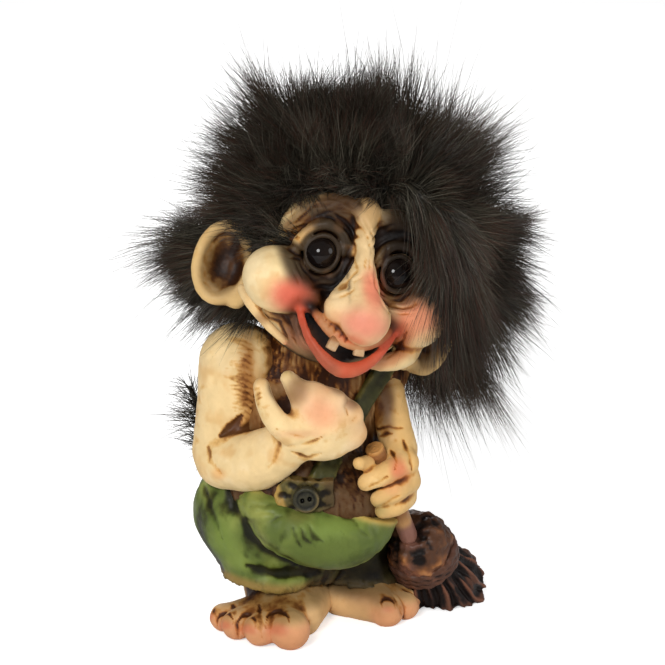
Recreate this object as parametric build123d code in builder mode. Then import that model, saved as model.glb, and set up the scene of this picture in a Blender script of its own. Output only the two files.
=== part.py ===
from build123d import *
from math import cos, pi, sin, sqrt
import os

# A cast and painted troll ornament that stands on two bare feet. It wears rolled trousers held
# by one brace and leans on a twig broom. Its hair and the brush of its tail are real fur.
# The figure looks along -Y, its own right hand is at -X, and the floor is at Z = 0.

os.makedirs("parts", exist_ok=True)

# Driving dimensions, in millimetres and degrees
NAPE_HEIGHT = 100.0
TRUNK_X = -17.2
TRUNK_Y = -3.9

CHEST_HALF_WIDTH = 25.0
CHEST_HALF_DEPTH = 17.5
CHEST_HALF_HEIGHT = 24.0
SHOULDER_RADIUS = 11.0
SEAT_RADIUS = 22.0
POUCH_RADIUS = 15.0
RIGHT_HEM_RADIUS = 12.5
LEFT_HEM_RADIUS = 10.5
HEM_ROLL_RADIUS = 2.2

UPPER_ARM_RADIUS = 9.2
FOREARM_RADIUS = 8.6
WRIST_RADIUS = 6.6
PALM_RADIUS = 9.0
LEFT_ARM_RADIUS = 6.8
LEFT_WRIST_RADIUS = 5.8
LEFT_SHOULDER_SHARE = 0.85
FINGER_RADIUS = 3.6
GRIP_FINGER_RADIUS = 2.6

HEEL_RADIUS = 8.0
FOOT_RADIUS = 8.8
BIG_TOE_RADIUS = 5.4
LEFT_FOOT_SHARE = 0.92

HEAD_HALF_WIDTH = 28.0
HEAD_HALF_DEPTH = 28.0
HEAD_HALF_HEIGHT = 33.0
HEAD_TURN = -5.8
HEAD_NOD = -11.3
HEAD_TILT = 18.6
CHEEK_RADIUS = 10.3
NOSE_TIP_RADIUS = 8.0
LIP_RADIUS = 3.2
EYE_DIAMETER = 10.0
EYELID_THICKNESS = 2.6
EYELID_REACH_SHARE = 0.8
EAR_HALF_WIDTH = 9.0
EAR_HALF_DEPTH = 6.5
EAR_HALF_HEIGHT = 13.5
EAR_WALL = 2.8
TOOTH_WIDTH = 3.6
TOOTH_LENGTH = 6.0
TOOTH_DEPTH = 3.0
TOOTH_TAPER = 6.0

BRACE_WIDTH = 5.4
BRACE_THICKNESS = 1.3
PATCH_WIDTH = 16.5
PATCH_HEIGHT = 12.0
PATCH_THICKNESS = 1.8
PATCH_DEPTH = 6.0
BUTTON_DIAMETER = 7.6
BUTTON_THICKNESS = 1.8
BUTTON_RIM = 0.9
BUTTON_HOLE_DIAMETER = 1.1
BUTTON_HOLE_SPACING = 2.4

HANDLE_LENGTH = 37.0
HANDLE_DIAMETER = 5.4
HANDLE_LEAN = 27.5
HANDLE_HEADING = 31.0
BUNDLE_LEAN = 37.0
BUNDLE_HEADING = 45.0
BUNDLE_DIAMETER = 20.0
BUNDLE_CROWN = 6.0
BUNDLE_NECK = 10.0
BINDING_DIAMETER = 21.6
BINDING_STRAND = 2.2
BINDING_TURNS = 3
TWIG_LENGTH = 17.0
TWIG_END_DIAMETER = 28.0
TWIG_FLUTE_SHARE = 0.10
TWIG_FLUTES = 18

TAIL_RADIUS = 3.2
TAIL_TIP_RADIUS = 2.2
TAIL_BRUSH_RADIUS = 6.5

HAIR_HALF_WIDTH = 39.0
HAIR_HALF_DEPTH = 33.0
HAIR_HALF_HEIGHT = 32.0
LOCK_LENGTH = 15.0
LOCK_RADIUS = 6.0
FRINGE_RADIUS = 7.0
OVERRUN = 60.0

# Facets of the modelled forms
LUMP_SIDES = 12
LUMP_BANDS = 7
HEAD_SIDES = 16
HEAD_BANDS = 8
SMALL_SIDES = 10
SMALL_BANDS = 6
LIMB_SIDES = 10
FINGER_SIDES = 8
LOCK_SIDES = 4
CAP_SHARES = (0.87, 0.5)
LIMB_REFERENCE = (0.3, 0.8, 0.52)

HEAD_CENTRE_SHARE = (0.052, -0.073, 1.061)
HANDLE_TOP_SHARE = (0.113, -0.233, 0.585)
BUNDLE_TOP_SHARE = (0.275, -0.130, 0.275)


def on_body(share):
    """A place on the body, from shares of the nape height."""
    return Vector(*share) * NAPE_HEIGHT + Vector(TRUNK_X, TRUNK_Y, 0)


HEAD_CENTRE = on_body(HEAD_CENTRE_SHARE)
HEAD_FRAME = (
    Location(HEAD_CENTRE)
    * Location((0, 0, 0), (0, 0, HEAD_TURN))
    * Location((0, 0, 0), (HEAD_NOD, 0, 0))
    * Location((0, 0, 0), (0, HEAD_TILT, 0))
)


def head_size(share):
    """A place or a set of radii on the head, from shares of its three half sizes."""
    return Vector(
        share[0] * HEAD_HALF_WIDTH, share[1] * HEAD_HALF_DEPTH, share[2] * HEAD_HALF_HEIGHT
    )


def on_head(share):
    """A place on the tilted head."""
    return (HEAD_FRAME * Location(head_size(share))).position


def closed_skin(rings, start, end):
    """A solid inside a skin of flat facets through rings of points, closed by a point at each end."""
    count = len(rings[0])
    corners = []
    for step in range(count):
        ahead = (step + 1) % count
        corners.append((start, rings[0][ahead], rings[0][step]))
        corners.append((end, rings[-1][step], rings[-1][ahead]))
        for lower, upper in zip(rings, rings[1:]):
            corners.append((lower[step], lower[ahead], upper[ahead]))
            corners.append((lower[step], upper[ahead], upper[step]))
    return Solid(Shell([Face(Wire.make_polygon(triangle)) for triangle in corners]))


def ring_points(centre, along, across, radius, sides):
    """Points round a centre, in the plane square to one direction, from another direction on."""
    other = along.cross(across)
    angles = [2 * pi * step / sides for step in range(sides)]
    return [centre + across * (radius * cos(angle)) + other * (radius * sin(angle)) for angle in angles]


def lump(place, radii, sides=LUMP_SIDES, bands=LUMP_BANDS):
    """An ellipsoid with its own X, Y and Z radii, at a Location."""
    radii = tuple(radii)
    rings = []
    for band in range(1, bands):
        fall = pi * band / bands
        ring = []
        for step in range(sides):
            turn = 2 * pi * step / sides
            unit = (sin(fall) * cos(turn), sin(fall) * sin(turn), -cos(fall))
            ring.append(Vector(*[part * radius for part, radius in zip(unit, radii)]))
        rings.append(ring)
    poles = (Vector(0, 0, -radii[2]), Vector(0, 0, radii[2]))
    return closed_skin(rings, *poles).moved(place)


def body_lump(share, radii, **counts):
    """An ellipsoid on the body."""
    return lump(Location(on_body(share)), radii, **counts)


def head_lump(share, radii, **counts):
    """An ellipsoid on the tilted head."""
    return lump(HEAD_FRAME * Location(head_size(share)), radii, **counts)


def limb(points, radii, sides=LIMB_SIDES):
    """A limb with round ends that runs through points and has its own radius at each."""
    runs = [(after - before).normalized() for before, after in zip(points, points[1:])]
    headings = [runs[0]]
    headings += [(before + after).normalized() for before, after in zip(runs, runs[1:])]
    headings.append(runs[-1])
    across = headings[0].cross(Vector(*LIMB_REFERENCE)).normalized()
    rings = []
    for share in CAP_SHARES:
        centre = points[0] - headings[0] * (radii[0] * share)
        rings.append(ring_points(centre, headings[0], across, radii[0] * sqrt(1 - share**2), sides))
    for point, heading, radius in zip(points, headings, radii):
        across = (across - heading * across.dot(heading)).normalized()
        rings.append(ring_points(point, heading, across, radius, sides))
    for share in reversed(CAP_SHARES):
        centre = points[-1] + headings[-1] * (radii[-1] * share)
        rings.append(
            ring_points(centre, headings[-1], across, radii[-1] * sqrt(1 - share**2), sides)
        )
    start = points[0] - headings[0] * radii[0]
    end = points[-1] + headings[-1] * radii[-1]
    return closed_skin(rings, start, end)


def body_limb(shares, radii, **counts):
    """A limb through places on the body."""
    return limb([on_body(share) for share in shares], radii, **counts)


def head_limb(shares, radii, **counts):
    """A limb through places on the tilted head."""
    return limb([on_head(share) for share in shares], radii, **counts)


def sized(radius, shares):
    """Radii that are shares of one radius."""
    return [radius * share for share in shares]


def block_under_floor():
    """A block under the floor, which cuts soles flat."""
    width = NAPE_HEIGHT + OVERRUN
    with BuildPart() as block:
        Box(width, width, OVERRUN, align=(Align.CENTER, Align.CENTER, Align.MAX))
    return block.part


def finish(piece, label):
    """Label a finished piece and write its file."""
    piece.part.label = label
    export_step(piece.part, f"parts/{label}.step")


# Trunk, with the neck and both shoulders
TRUNK_PLACE_SHARES = (
    (0.00, 0.00, 0.64),
    (-0.02, -0.03, 0.44),
    (0.04, -0.02, 0.86),
    (-0.20, 0.01, 0.79),
    (0.19, -0.03, 0.745),
)
TRUNK_RADIUS_SHARES = (
    (1.00, 1.00, 1.00),
    (1.00, 1.15, 0.70),
    (0.66, 0.85, 0.60),
    (0.44, 0.63, 0.46),
    (0.40, 0.56, 0.42),
)


def trunk_forms(extra):
    """The lumps of the trunk, grown on every side by an extra thickness."""
    forms = []
    for place, shares in zip(TRUNK_PLACE_SHARES, TRUNK_RADIUS_SHARES):
        sizes = (CHEST_HALF_WIDTH, CHEST_HALF_DEPTH, CHEST_HALF_HEIGHT)
        forms.append(body_lump(place, [share * size + extra for share, size in zip(shares, sizes)]))
    return forms


with BuildPart() as trunk:
    add(trunk_forms(0))

# Head
SKULL_PLACE_SHARES = ((0.00, 0.14, 0.18), (0.00, -0.21, -0.18), (0.00, -0.80, -0.68))
SKULL_RADIUS_SHARES = ((0.96, 0.93, 0.88), (0.86, 0.71, 0.73), (0.56, 0.42, 0.25))
BROW_SHARE = (0.43, -0.78, 0.44)
BROW_RADIUS_SHARES = (0.33, 0.18, 0.15)
EYE_SHARE = (0.40, -0.76, 0.155)
CHEEK_SHARE = (0.73, -0.60, -0.225)
NOSE_SHARES = ((0.0, -0.84, 0.40), (0.0, -1.06, 0.08), (0.0, -1.28, -0.18), (0.02, -1.42, -0.31))
NOSE_RADIUS_SHARES = (0.42, 0.44, 0.76, 1.0)
NOSTRIL_SHARE = (0.29, -1.24, -0.30)
NOSTRIL_RADIUS_SHARES = (0.56, 0.62, 0.56)
UPPER_LIP_SHARES = ((-0.62, -0.86, -0.34), (-0.32, -1.08, -0.50), (0.0, -1.18, -0.56))
UPPER_LIP_RADIUS_SHARES = (0.9, 1.1, 1.1)
MOUTH_SHARE = (0.0, -1.14, -0.69)
MOUTH_RADIUS_SHARES = (0.56, 0.30, 0.10)
LOWER_LIP_SHARES = (
    (-0.72, -0.80, -0.24),
    (-0.58, -0.98, -0.50),
    (-0.32, -1.14, -0.72),
    (0.0, -1.22, -0.82),
)
LOWER_LIP_RADIUS_SHARES = (0.5, 0.8, 1.0, 1.1)
RIGHT_EAR_SHARE = (-1.19, 0.08, -0.22)
LEFT_EAR_SHARE = (1.16, 0.02, -0.31)
EAR_TURN = 22.0
TOOTH_SHARES = ((-0.20, -1.12, -0.565), (0.11, -1.15, -0.565))


def both_sides(share):
    """A place on the head and its mirror image, the figure's right side first."""
    return (-share[0], share[1], share[2]), share


def arch(shares, size_shares):
    """Places and sizes from one corner of the mouth to the other, from those of its right half."""
    places = [*shares, *[(-x, y, z) for x, y, z in reversed(shares[:-1])]]
    return places, [*size_shares, *reversed(size_shares[:-1])]


eye_radius = EYE_DIAMETER / 2
lid_radius = eye_radius + EYELID_THICKNESS
eye_balls = [
    head_lump(share, (eye_radius, eye_radius, eye_radius)) for share in both_sides(EYE_SHARE)
]

upper_lip_places, upper_lip_sizes = arch(UPPER_LIP_SHARES, UPPER_LIP_RADIUS_SHARES)
lower_lip_places, lower_lip_sizes = arch(LOWER_LIP_SHARES, LOWER_LIP_RADIUS_SHARES)
head_forms = [
    head_lump(place, head_size(shares), sides=HEAD_SIDES, bands=HEAD_BANDS)
    for place, shares in zip(SKULL_PLACE_SHARES, SKULL_RADIUS_SHARES)
]
for share in both_sides(BROW_SHARE):
    head_forms.append(
        head_lump(share, head_size(BROW_RADIUS_SHARES), sides=SMALL_SIDES, bands=SMALL_BANDS)
    )
for share in both_sides(CHEEK_SHARE):
    head_forms.append(head_lump(share, (CHEEK_RADIUS, CHEEK_RADIUS, CHEEK_RADIUS)))
for share in both_sides(NOSTRIL_SHARE):
    nostril_radii = sized(NOSE_TIP_RADIUS, NOSTRIL_RADIUS_SHARES)
    head_forms.append(head_lump(share, nostril_radii, sides=SMALL_SIDES, bands=SMALL_BANDS))
head_forms += [
    head_limb(NOSE_SHARES, sized(NOSE_TIP_RADIUS, NOSE_RADIUS_SHARES)),
    head_limb(upper_lip_places, sized(LIP_RADIUS, upper_lip_sizes), sides=FINGER_SIDES),
    head_limb(lower_lip_places, sized(LIP_RADIUS, lower_lip_sizes), sides=FINGER_SIDES),
]
for share in both_sides(EYE_SHARE):
    lid_radii = (lid_radius, eye_radius * EYELID_REACH_SHARE, lid_radius)
    head_forms.append(head_lump(share, lid_radii, sides=SMALL_SIDES, bands=SMALL_BANDS))
mouth = head_lump(MOUTH_SHARE, head_size(MOUTH_RADIUS_SHARES))

with BuildPart() as head:
    add(head_forms)
    add([mouth, *eye_balls, trunk.part], mode=Mode.SUBTRACT)

with BuildPart() as right_eye:
    add(eye_balls[0])

with BuildPart() as left_eye:
    add(eye_balls[1])

with BuildPart() as teeth:
    for share in TOOTH_SHARES:
        with BuildSketch(Plane(HEAD_FRAME * Location(head_size(share)))):
            Rectangle(TOOTH_WIDTH, TOOTH_DEPTH)
        extrude(amount=TOOTH_LENGTH / 2, both=True, taper=TOOTH_TAPER)
    add(head.part, mode=Mode.SUBTRACT)


def ear_forms(share, side):
    """The outside of an ear and the bowl cut into it; side is -1 for the figure's right ear."""
    frame = HEAD_FRAME * Location(head_size(share)) * Location((0, 0, 0), (0, 0, side * EAR_TURN))
    bowl_frame = frame * Location((side * EAR_WALL / 4, -EAR_WALL - EAR_HALF_DEPTH / 4, 0))
    bowl_radii = (EAR_HALF_WIDTH - EAR_WALL, EAR_HALF_DEPTH, EAR_HALF_HEIGHT - EAR_WALL)
    return lump(frame, (EAR_HALF_WIDTH, EAR_HALF_DEPTH, EAR_HALF_HEIGHT)), lump(bowl_frame, bowl_radii)


right_ear_outside, right_ear_bowl = ear_forms(RIGHT_EAR_SHARE, -1)
left_ear_outside, left_ear_bowl = ear_forms(LEFT_EAR_SHARE, 1)

with BuildPart() as right_ear:
    add(right_ear_outside)
    add([right_ear_bowl, head.part], mode=Mode.SUBTRACT)

with BuildPart() as left_ear:
    add(left_ear_outside)
    add([left_ear_bowl, head.part], mode=Mode.SUBTRACT)

# Trousers: a seat, a pouch that hangs in front, two short legs and their rolled hems
SEAT_SHARE = (-0.035, 0.03, 0.35)
SEAT_RADIUS_SHARES = (1.45, 1.0, 1.02)
POUCH_SHARE = (-0.02, -0.13, 0.36)
POUCH_RADIUS_SHARES = (1.5, 1.0, 0.95)
RIGHT_LEG_SHARES = ((-0.165, -0.01, 0.30), (-0.14, -0.02, 0.13))
LEFT_LEG_SHARES = ((0.13, 0.01, 0.27), (0.155, 0.00, 0.11))
LEG_RADIUS_SHARES = (1.15, 1.0)
WAIST_SHARE = (-0.01, 0.00, 0.455)
WAIST_TILT = 17.0

with BuildPart() as above_waist:
    Box(NAPE_HEIGHT, NAPE_HEIGHT, OVERRUN, align=(Align.CENTER, Align.CENTER, Align.MIN))
waist_cut = above_waist.part.moved(Location(on_body(WAIST_SHARE), (0, WAIST_TILT, 0)))

trouser_forms = [
    body_lump(SEAT_SHARE, sized(SEAT_RADIUS, SEAT_RADIUS_SHARES)),
    body_lump(POUCH_SHARE, sized(POUCH_RADIUS, POUCH_RADIUS_SHARES)),
]
for leg_shares, hem_radius in (
    (RIGHT_LEG_SHARES, RIGHT_HEM_RADIUS),
    (LEFT_LEG_SHARES, LEFT_HEM_RADIUS),
):
    trouser_forms.append(body_limb(leg_shares, sized(hem_radius, LEG_RADIUS_SHARES)))
    roll_radii = (hem_radius + HEM_ROLL_RADIUS, hem_radius + HEM_ROLL_RADIUS, 2 * HEM_ROLL_RADIUS)
    trouser_forms.append(body_lump(leg_shares[1], roll_radii))

with BuildPart() as trousers:
    add(trouser_forms)
    for leg_shares in (RIGHT_LEG_SHARES, LEFT_LEG_SHARES):
        with Locations(on_body(leg_shares[1]) - Vector(0, 0, HEM_ROLL_RADIUS)):
            Cylinder(
                SEAT_RADIUS,
                SEAT_RADIUS,
                align=(Align.CENTER, Align.CENTER, Align.MAX),
                mode=Mode.SUBTRACT,
            )
    add([waist_cut, trunk.part], mode=Mode.SUBTRACT)

# Broom, which the left fist holds: a straight handle set in a bundle of twigs that leans further
BUNDLE_CROWN_SHARES = ((0.0, 0.62), (0.35, 0.90), (1.0, 1.0))
TWIG_SPREAD_SHARES = ((0.0, 0.0), (0.45, 0.32), (0.85, 0.86), (1.0, 1.0))


def leaning_frame(share, lean, heading):
    """A frame at a place on the body whose Z axis runs down at an angle from the vertical."""
    return (
        Location(on_body(share))
        * Location((0, 0, 0), (0, 0, heading))
        * Location((0, 0, 0), (0, 180 - lean, 0))
    )


def bundle_form(profile, sides, flute_share=0):
    """A many-sided form round the bundle, from distances down from its top and radii there."""
    rings = []
    for distance, radius in profile:
        ring = []
        for step in range(sides):
            angle = 2 * pi * step / sides
            reach = radius * (1 - flute_share * (step % 2))
            place = Location((reach * cos(angle), reach * sin(angle), distance))
            ring.append((bundle_frame * place).position)
        rings.append(ring)
    ends = [(bundle_frame * Location((0, 0, profile[index][0]))).position for index in (0, -1)]
    return closed_skin(rings, *ends)


handle_frame = leaning_frame(HANDLE_TOP_SHARE, HANDLE_LEAN, HANDLE_HEADING)
bundle_frame = leaning_frame(BUNDLE_TOP_SHARE, BUNDLE_LEAN, BUNDLE_HEADING)
bundle_radius = BUNDLE_DIAMETER / 2
twig_start = BUNDLE_NECK + BINDING_STRAND * BINDING_TURNS

with BuildPart() as broom_handle:
    with BuildSketch(Plane(handle_frame)):
        RegularPolygon(HANDLE_DIAMETER / 2, LIMB_SIDES)
    extrude(amount=HANDLE_LENGTH)
    chamfer(broom_handle.faces().sort_by(Axis.Z)[-1].edges(), HANDLE_DIAMETER / 10)
    add(trousers.part, mode=Mode.SUBTRACT)

neck_profile = [
    (BUNDLE_CROWN * height, bundle_radius * reach) for height, reach in BUNDLE_CROWN_SHARES
]
neck_profile.append((BUNDLE_NECK, bundle_radius))

with BuildPart() as broom_head:
    add(bundle_form(neck_profile, LUMP_SIDES))
    add([broom_handle.part, trousers.part], mode=Mode.SUBTRACT)

binding_profile = [(BUNDLE_NECK, bundle_radius)]
for turn in range(BINDING_TURNS):
    strand_start = BUNDLE_NECK + BINDING_STRAND * turn
    binding_profile.append((strand_start + BINDING_STRAND / 2, BINDING_DIAMETER / 2))
    binding_profile.append((strand_start + BINDING_STRAND, bundle_radius))

with BuildPart() as broom_binding:
    add(bundle_form(binding_profile, LUMP_SIDES))
    add(trousers.part, mode=Mode.SUBTRACT)

twig_spread = TWIG_END_DIAMETER / 2 - bundle_radius
twig_profile = [
    (twig_start + TWIG_LENGTH * distance, bundle_radius + twig_spread * spread)
    for distance, spread in TWIG_SPREAD_SHARES
]

with BuildPart() as broom_twigs:
    add(bundle_form(twig_profile, 2 * TWIG_FLUTES, TWIG_FLUTE_SHARE))
    add([block_under_floor(), trousers.part], mode=Mode.SUBTRACT)

# Feet, flat underneath, with toes that fan out from the ball of the foot
RIGHT_FOOT_SHARES = ((-0.125, 0.00, 0.17), (-0.105, 0.03, 0.07), (-0.10, -0.08, 0.060))
RIGHT_TOE_SHARES = (
    (-0.125, -0.225, 0.054),
    (-0.205, -0.190, 0.046),
    (-0.255, -0.115, 0.042),
    (-0.275, -0.025, 0.038),
)
LEFT_FOOT_SHARES = ((0.155, 0.00, 0.15), (0.155, 0.03, 0.065), (0.17, -0.06, 0.052))
LEFT_TOE_SHARES = (
    (0.165, -0.165, 0.048),
    (0.245, -0.14, 0.040),
    (0.290, -0.08, 0.036),
)
TOE_RADIUS_SHARES = (1.0, 0.85, 0.76, 0.68)
TOE_FORM_SHARES = (1.15, 1.15, 1.0)
TOE_ROOT_SHARE = 0.7


def foot_forms(foot_shares, toe_shares, size_share):
    """An ankle, heel and ball of a foot, and the toes in front of it."""
    instep = FOOT_RADIUS * size_share
    forms = [body_limb(foot_shares, (HEEL_RADIUS * size_share, HEEL_RADIUS * size_share, instep))]
    for share, radius_share in zip(toe_shares, TOE_RADIUS_SHARES):
        toe = BIG_TOE_RADIUS * radius_share * size_share
        forms.append(body_limb((foot_shares[-1], share), (instep * TOE_ROOT_SHARE, toe)))
        forms.append(
            body_lump(share, sized(toe, TOE_FORM_SHARES), sides=SMALL_SIDES, bands=SMALL_BANDS)
        )
    return forms


with BuildPart() as right_foot:
    add(foot_forms(RIGHT_FOOT_SHARES, RIGHT_TOE_SHARES, 1))
    add([block_under_floor(), trousers.part], mode=Mode.SUBTRACT)

with BuildPart() as left_foot:
    add(foot_forms(LEFT_FOOT_SHARES, LEFT_TOE_SHARES, LEFT_FOOT_SHARE))
    add([block_under_floor(), trousers.part, broom_twigs.part], mode=Mode.SUBTRACT)

# Right arm, bent so that its hand lies on the chest
RIGHT_ARM_SHARES = (
    (-0.235, 0.01, 0.79),
    (-0.25, 0.00, 0.64),
    (-0.255, -0.03, 0.505),
    (-0.19, -0.17, 0.57),
    (-0.12, -0.25, 0.655),
)
RIGHT_ARM_RADII = (
    SHOULDER_RADIUS,
    UPPER_ARM_RADIUS,
    UPPER_ARM_RADIUS,
    FOREARM_RADIUS,
    WRIST_RADIUS,
)
PALM_SHARE = (-0.055, -0.245, 0.70)
PALM_RADIUS_SHARES = (1.15, 0.75, 1.15)
THUMB_SHARES = ((-0.14, -0.27, 0.69), (-0.185, -0.27, 0.76), (-0.195, -0.24, 0.82))
THUMB_RADIUS_SHARES = (1.2, 1.1, 0.8)
FINGER_SHARES = (
    ((-0.10, -0.28, 0.74), (-0.125, -0.25, 0.845)),
    ((-0.05, -0.29, 0.72), (-0.075, -0.25, 0.805)),
    ((0.00, -0.285, 0.68), (-0.02, -0.255, 0.765)),
    ((0.035, -0.27, 0.63), (0.035, -0.25, 0.70)),
)
FINGER_RADIUS_SHARES = (1.1, 0.85)

right_arm_forms = [
    body_limb(RIGHT_ARM_SHARES, RIGHT_ARM_RADII),
    body_lump(PALM_SHARE, sized(PALM_RADIUS, PALM_RADIUS_SHARES)),
    body_limb(THUMB_SHARES, sized(FINGER_RADIUS, THUMB_RADIUS_SHARES), sides=FINGER_SIDES),
]
for shares in FINGER_SHARES:
    right_arm_forms.append(
        body_limb(shares, sized(FINGER_RADIUS, FINGER_RADIUS_SHARES), sides=FINGER_SIDES)
    )

with BuildPart() as right_arm:
    add(right_arm_forms)
    add([trunk.part, trousers.part, head.part], mode=Mode.SUBTRACT)

# Left arm, with a fist closed round the handle
LEFT_ARM_SHARES = ((0.18, -0.04, 0.745), (0.20, -0.10, 0.655), (0.21, -0.18, 0.555))
LEFT_ARM_RADII = (SHOULDER_RADIUS * LEFT_SHOULDER_SHARE, LEFT_ARM_RADIUS, LEFT_WRIST_RADIUS)
FIST_SHARE = (0.185, -0.20, 0.475)
FIST_RADIUS_SHARES = (0.75, 0.8, 1.0)
GRIP_SHARES = (
    ((0.225, -0.245, 0.515), (0.14, -0.275, 0.505), (0.065, -0.245, 0.500)),
    ((0.235, -0.235, 0.465), (0.16, -0.280, 0.450), (0.095, -0.255, 0.445)),
    ((0.240, -0.215, 0.420), (0.185, -0.265, 0.405), (0.120, -0.255, 0.405)),
    ((0.190, -0.200, 0.530), (0.10, -0.225, 0.545), (0.055, -0.245, 0.555)),
)
GRIP_RADIUS_SHARES = (1.1, 1.1, 1.0)

left_arm_forms = [
    body_limb(LEFT_ARM_SHARES, LEFT_ARM_RADII),
    body_lump(FIST_SHARE, sized(PALM_RADIUS, FIST_RADIUS_SHARES)),
]
for shares in GRIP_SHARES:
    left_arm_forms.append(
        body_limb(shares, sized(GRIP_FINGER_RADIUS, GRIP_RADIUS_SHARES), sides=FINGER_SIDES)
    )

with BuildPart() as left_arm:
    add(left_arm_forms)
    add([broom_handle.part, trunk.part, trousers.part, head.part], mode=Mode.SUBTRACT)

# Brace: one band in a slanting plane over the left shoulder and round the trunk
BRACE_SHARE = (0.075, 0.00, 0.655)
BRACE_SLANT = 39.0
BRACE_REACH_SHARE = 1.2

with BuildPart() as brace_band:
    Box(BRACE_WIDTH, NAPE_HEIGHT, NAPE_HEIGHT * BRACE_REACH_SHARE)
brace_cut = brace_band.part.moved(Location(on_body(BRACE_SHARE), (0, BRACE_SLANT, 0)))

with BuildPart() as brace_strap:
    add(trunk_forms(BRACE_THICKNESS))
    add(brace_cut, mode=Mode.INTERSECT)
    add(
        [trunk.part, trousers.part, head.part, right_arm.part, left_arm.part],
        mode=Mode.SUBTRACT,
    )

# Patch on the front of the waistband, and its button
PATCH_SHARE = (-0.095, -0.238, 0.462)
PATCH_CORNER_SHARES = ((-0.50, -0.05), (-0.34, 0.42), (0.46, 0.50), (0.50, -0.20), (-0.28, -0.50))
patch_plane = Plane(origin=on_body(PATCH_SHARE), x_dir=(1, -0.38, -0.10), z_dir=(-0.36, -1, 0.02))
button_plane = patch_plane.offset(PATCH_THICKNESS)

with BuildPart() as strap_patch:
    with BuildSketch(patch_plane.offset(-PATCH_DEPTH)):
        Polygon(
            *[(x * PATCH_WIDTH, y * PATCH_HEIGHT) for x, y in PATCH_CORNER_SHARES], align=None
        )
    extrude(amount=PATCH_DEPTH + PATCH_THICKNESS)
    patch_face = strap_patch.faces().sort_by(Axis(patch_plane.origin, patch_plane.z_dir))[-1]
    chamfer(patch_face.edges(), PATCH_THICKNESS / 3)
    add([trunk.part, trousers.part, brace_strap.part, right_arm.part], mode=Mode.SUBTRACT)

with BuildPart() as button:
    with BuildSketch(button_plane):
        Circle(BUTTON_DIAMETER / 2)
    extrude(amount=BUTTON_THICKNESS)
    with BuildSketch(button_plane.offset(BUTTON_THICKNESS)):
        Circle(BUTTON_DIAMETER / 2 - BUTTON_RIM)
    extrude(amount=-BUTTON_THICKNESS / 3, mode=Mode.SUBTRACT)
    with BuildSketch(button_plane):
        with GridLocations(BUTTON_HOLE_SPACING, 0, 2, 1):
            Circle(BUTTON_HOLE_DIAMETER / 2)
    extrude(amount=BUTTON_THICKNESS, mode=Mode.SUBTRACT)

# Tail, which leaves the seat and curls up behind the right elbow, and its brush of fur
TAIL_SHARES = (
    (-0.04, 0.20, 0.30),
    (-0.06, 0.31, 0.27),
    (-0.16, 0.36, 0.33),
    (-0.24, 0.33, 0.44),
)
TAIL_RADIUS_SHARES = (1.0, 0.95, 0.8, 0.65)
BRUSH_SHARES = ((-0.24, 0.33, 0.42), (-0.27, 0.30, 0.51), (-0.30, 0.27, 0.60), (-0.33, 0.26, 0.68))
BRUSH_RADIUS_SHARES = (0.55, 1.0, 0.85, 0.35)

with BuildPart() as tail:
    add(body_limb(TAIL_SHARES, sized(TAIL_RADIUS, TAIL_RADIUS_SHARES)))
    add(trousers.part, mode=Mode.SUBTRACT)

with BuildPart() as tail_brush:
    add(body_limb(BRUSH_SHARES, sized(TAIL_BRUSH_RADIUS, BRUSH_RADIUS_SHARES)))
    add(tail.part, mode=Mode.SUBTRACT)

# Hair: five masses of fur that stand round the skull in pointed locks and leave the face free
CROWN_SHARE = (0.22, 0.42, 0.80)
CROWN_SIZE_SHARES = (1.16, 1.05, 0.98)
BACK_SHARE = (0.25, 1.05, 0.08)
BACK_SIZE_SHARES = (0.90, 0.80, 1.22)
LEFT_SIDE_SHARE = (1.36, 0.33, -0.12)
LEFT_SIDE_SIZE_SHARES = (0.72, 0.85, 1.30)
RIGHT_SIDE_SHARE = (-0.90, 0.80, 0.06)
RIGHT_SIDE_SIZE_SHARES = (0.46, 0.50, 0.80)
FRINGE_SHARES = (
    (-0.93, -0.36, 0.42),
    (-0.66, -0.66, 0.70),
    (-0.10, -0.86, 0.86),
    (0.50, -0.76, 0.76),
    (0.86, -0.52, 0.42),
)
FRINGE_SIZE_SHARES = (0.8, 1.0, 1.0, 1.0, 0.9)
FACE_SHARE = (0.0, -1.43, -0.24)
FACE_SIZE_SHARES = (0.93, 1.29, 1.00)
EAR_ROOM_SHARE = (-1.29, -0.30, -0.24)
EAR_ROOM_SIZE_SHARES = (0.60, 0.52, 0.56)
HAIR_SHARES = (CROWN_SHARE, BACK_SHARE, LEFT_SIDE_SHARE, RIGHT_SIDE_SHARE)
HAIR_SIZE_SHARES = (
    CROWN_SIZE_SHARES,
    BACK_SIZE_SHARES,
    LEFT_SIDE_SIZE_SHARES,
    RIGHT_SIDE_SIZE_SHARES,
)
LOCKS_TRIED = 38
LOCK_TEST_SHARES = (0.25, 0.6, 1.0)
ROOM_MARGIN_SHARE = 1.3
LOCK_DROOP_SHARE = 0.18
LOCK_ROOT_SHARE = 0.75
LOCK_FRONT_LIMIT_SHARE = -0.35
LOCK_BOTTOM_LIMIT_SHARE = -0.75
LOCK_MIDDLE_SIZE_SHARE = 0.8
GOLDEN_TURN = pi * (3 - sqrt(5))


def hair_radii(shares):
    """The radii of a mass of hair, from shares of the crown's three half sizes."""
    return tuple(
        share * size
        for share, size in zip(shares, (HAIR_HALF_WIDTH, HAIR_HALF_DEPTH, HAIR_HALF_HEIGHT))
    )


def is_inside(away, radii):
    """Whether an offset from the centre of an ellipsoid lies inside it."""
    return sum((part / radius) ** 2 for part, radius in zip(away, radii)) < 1


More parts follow.
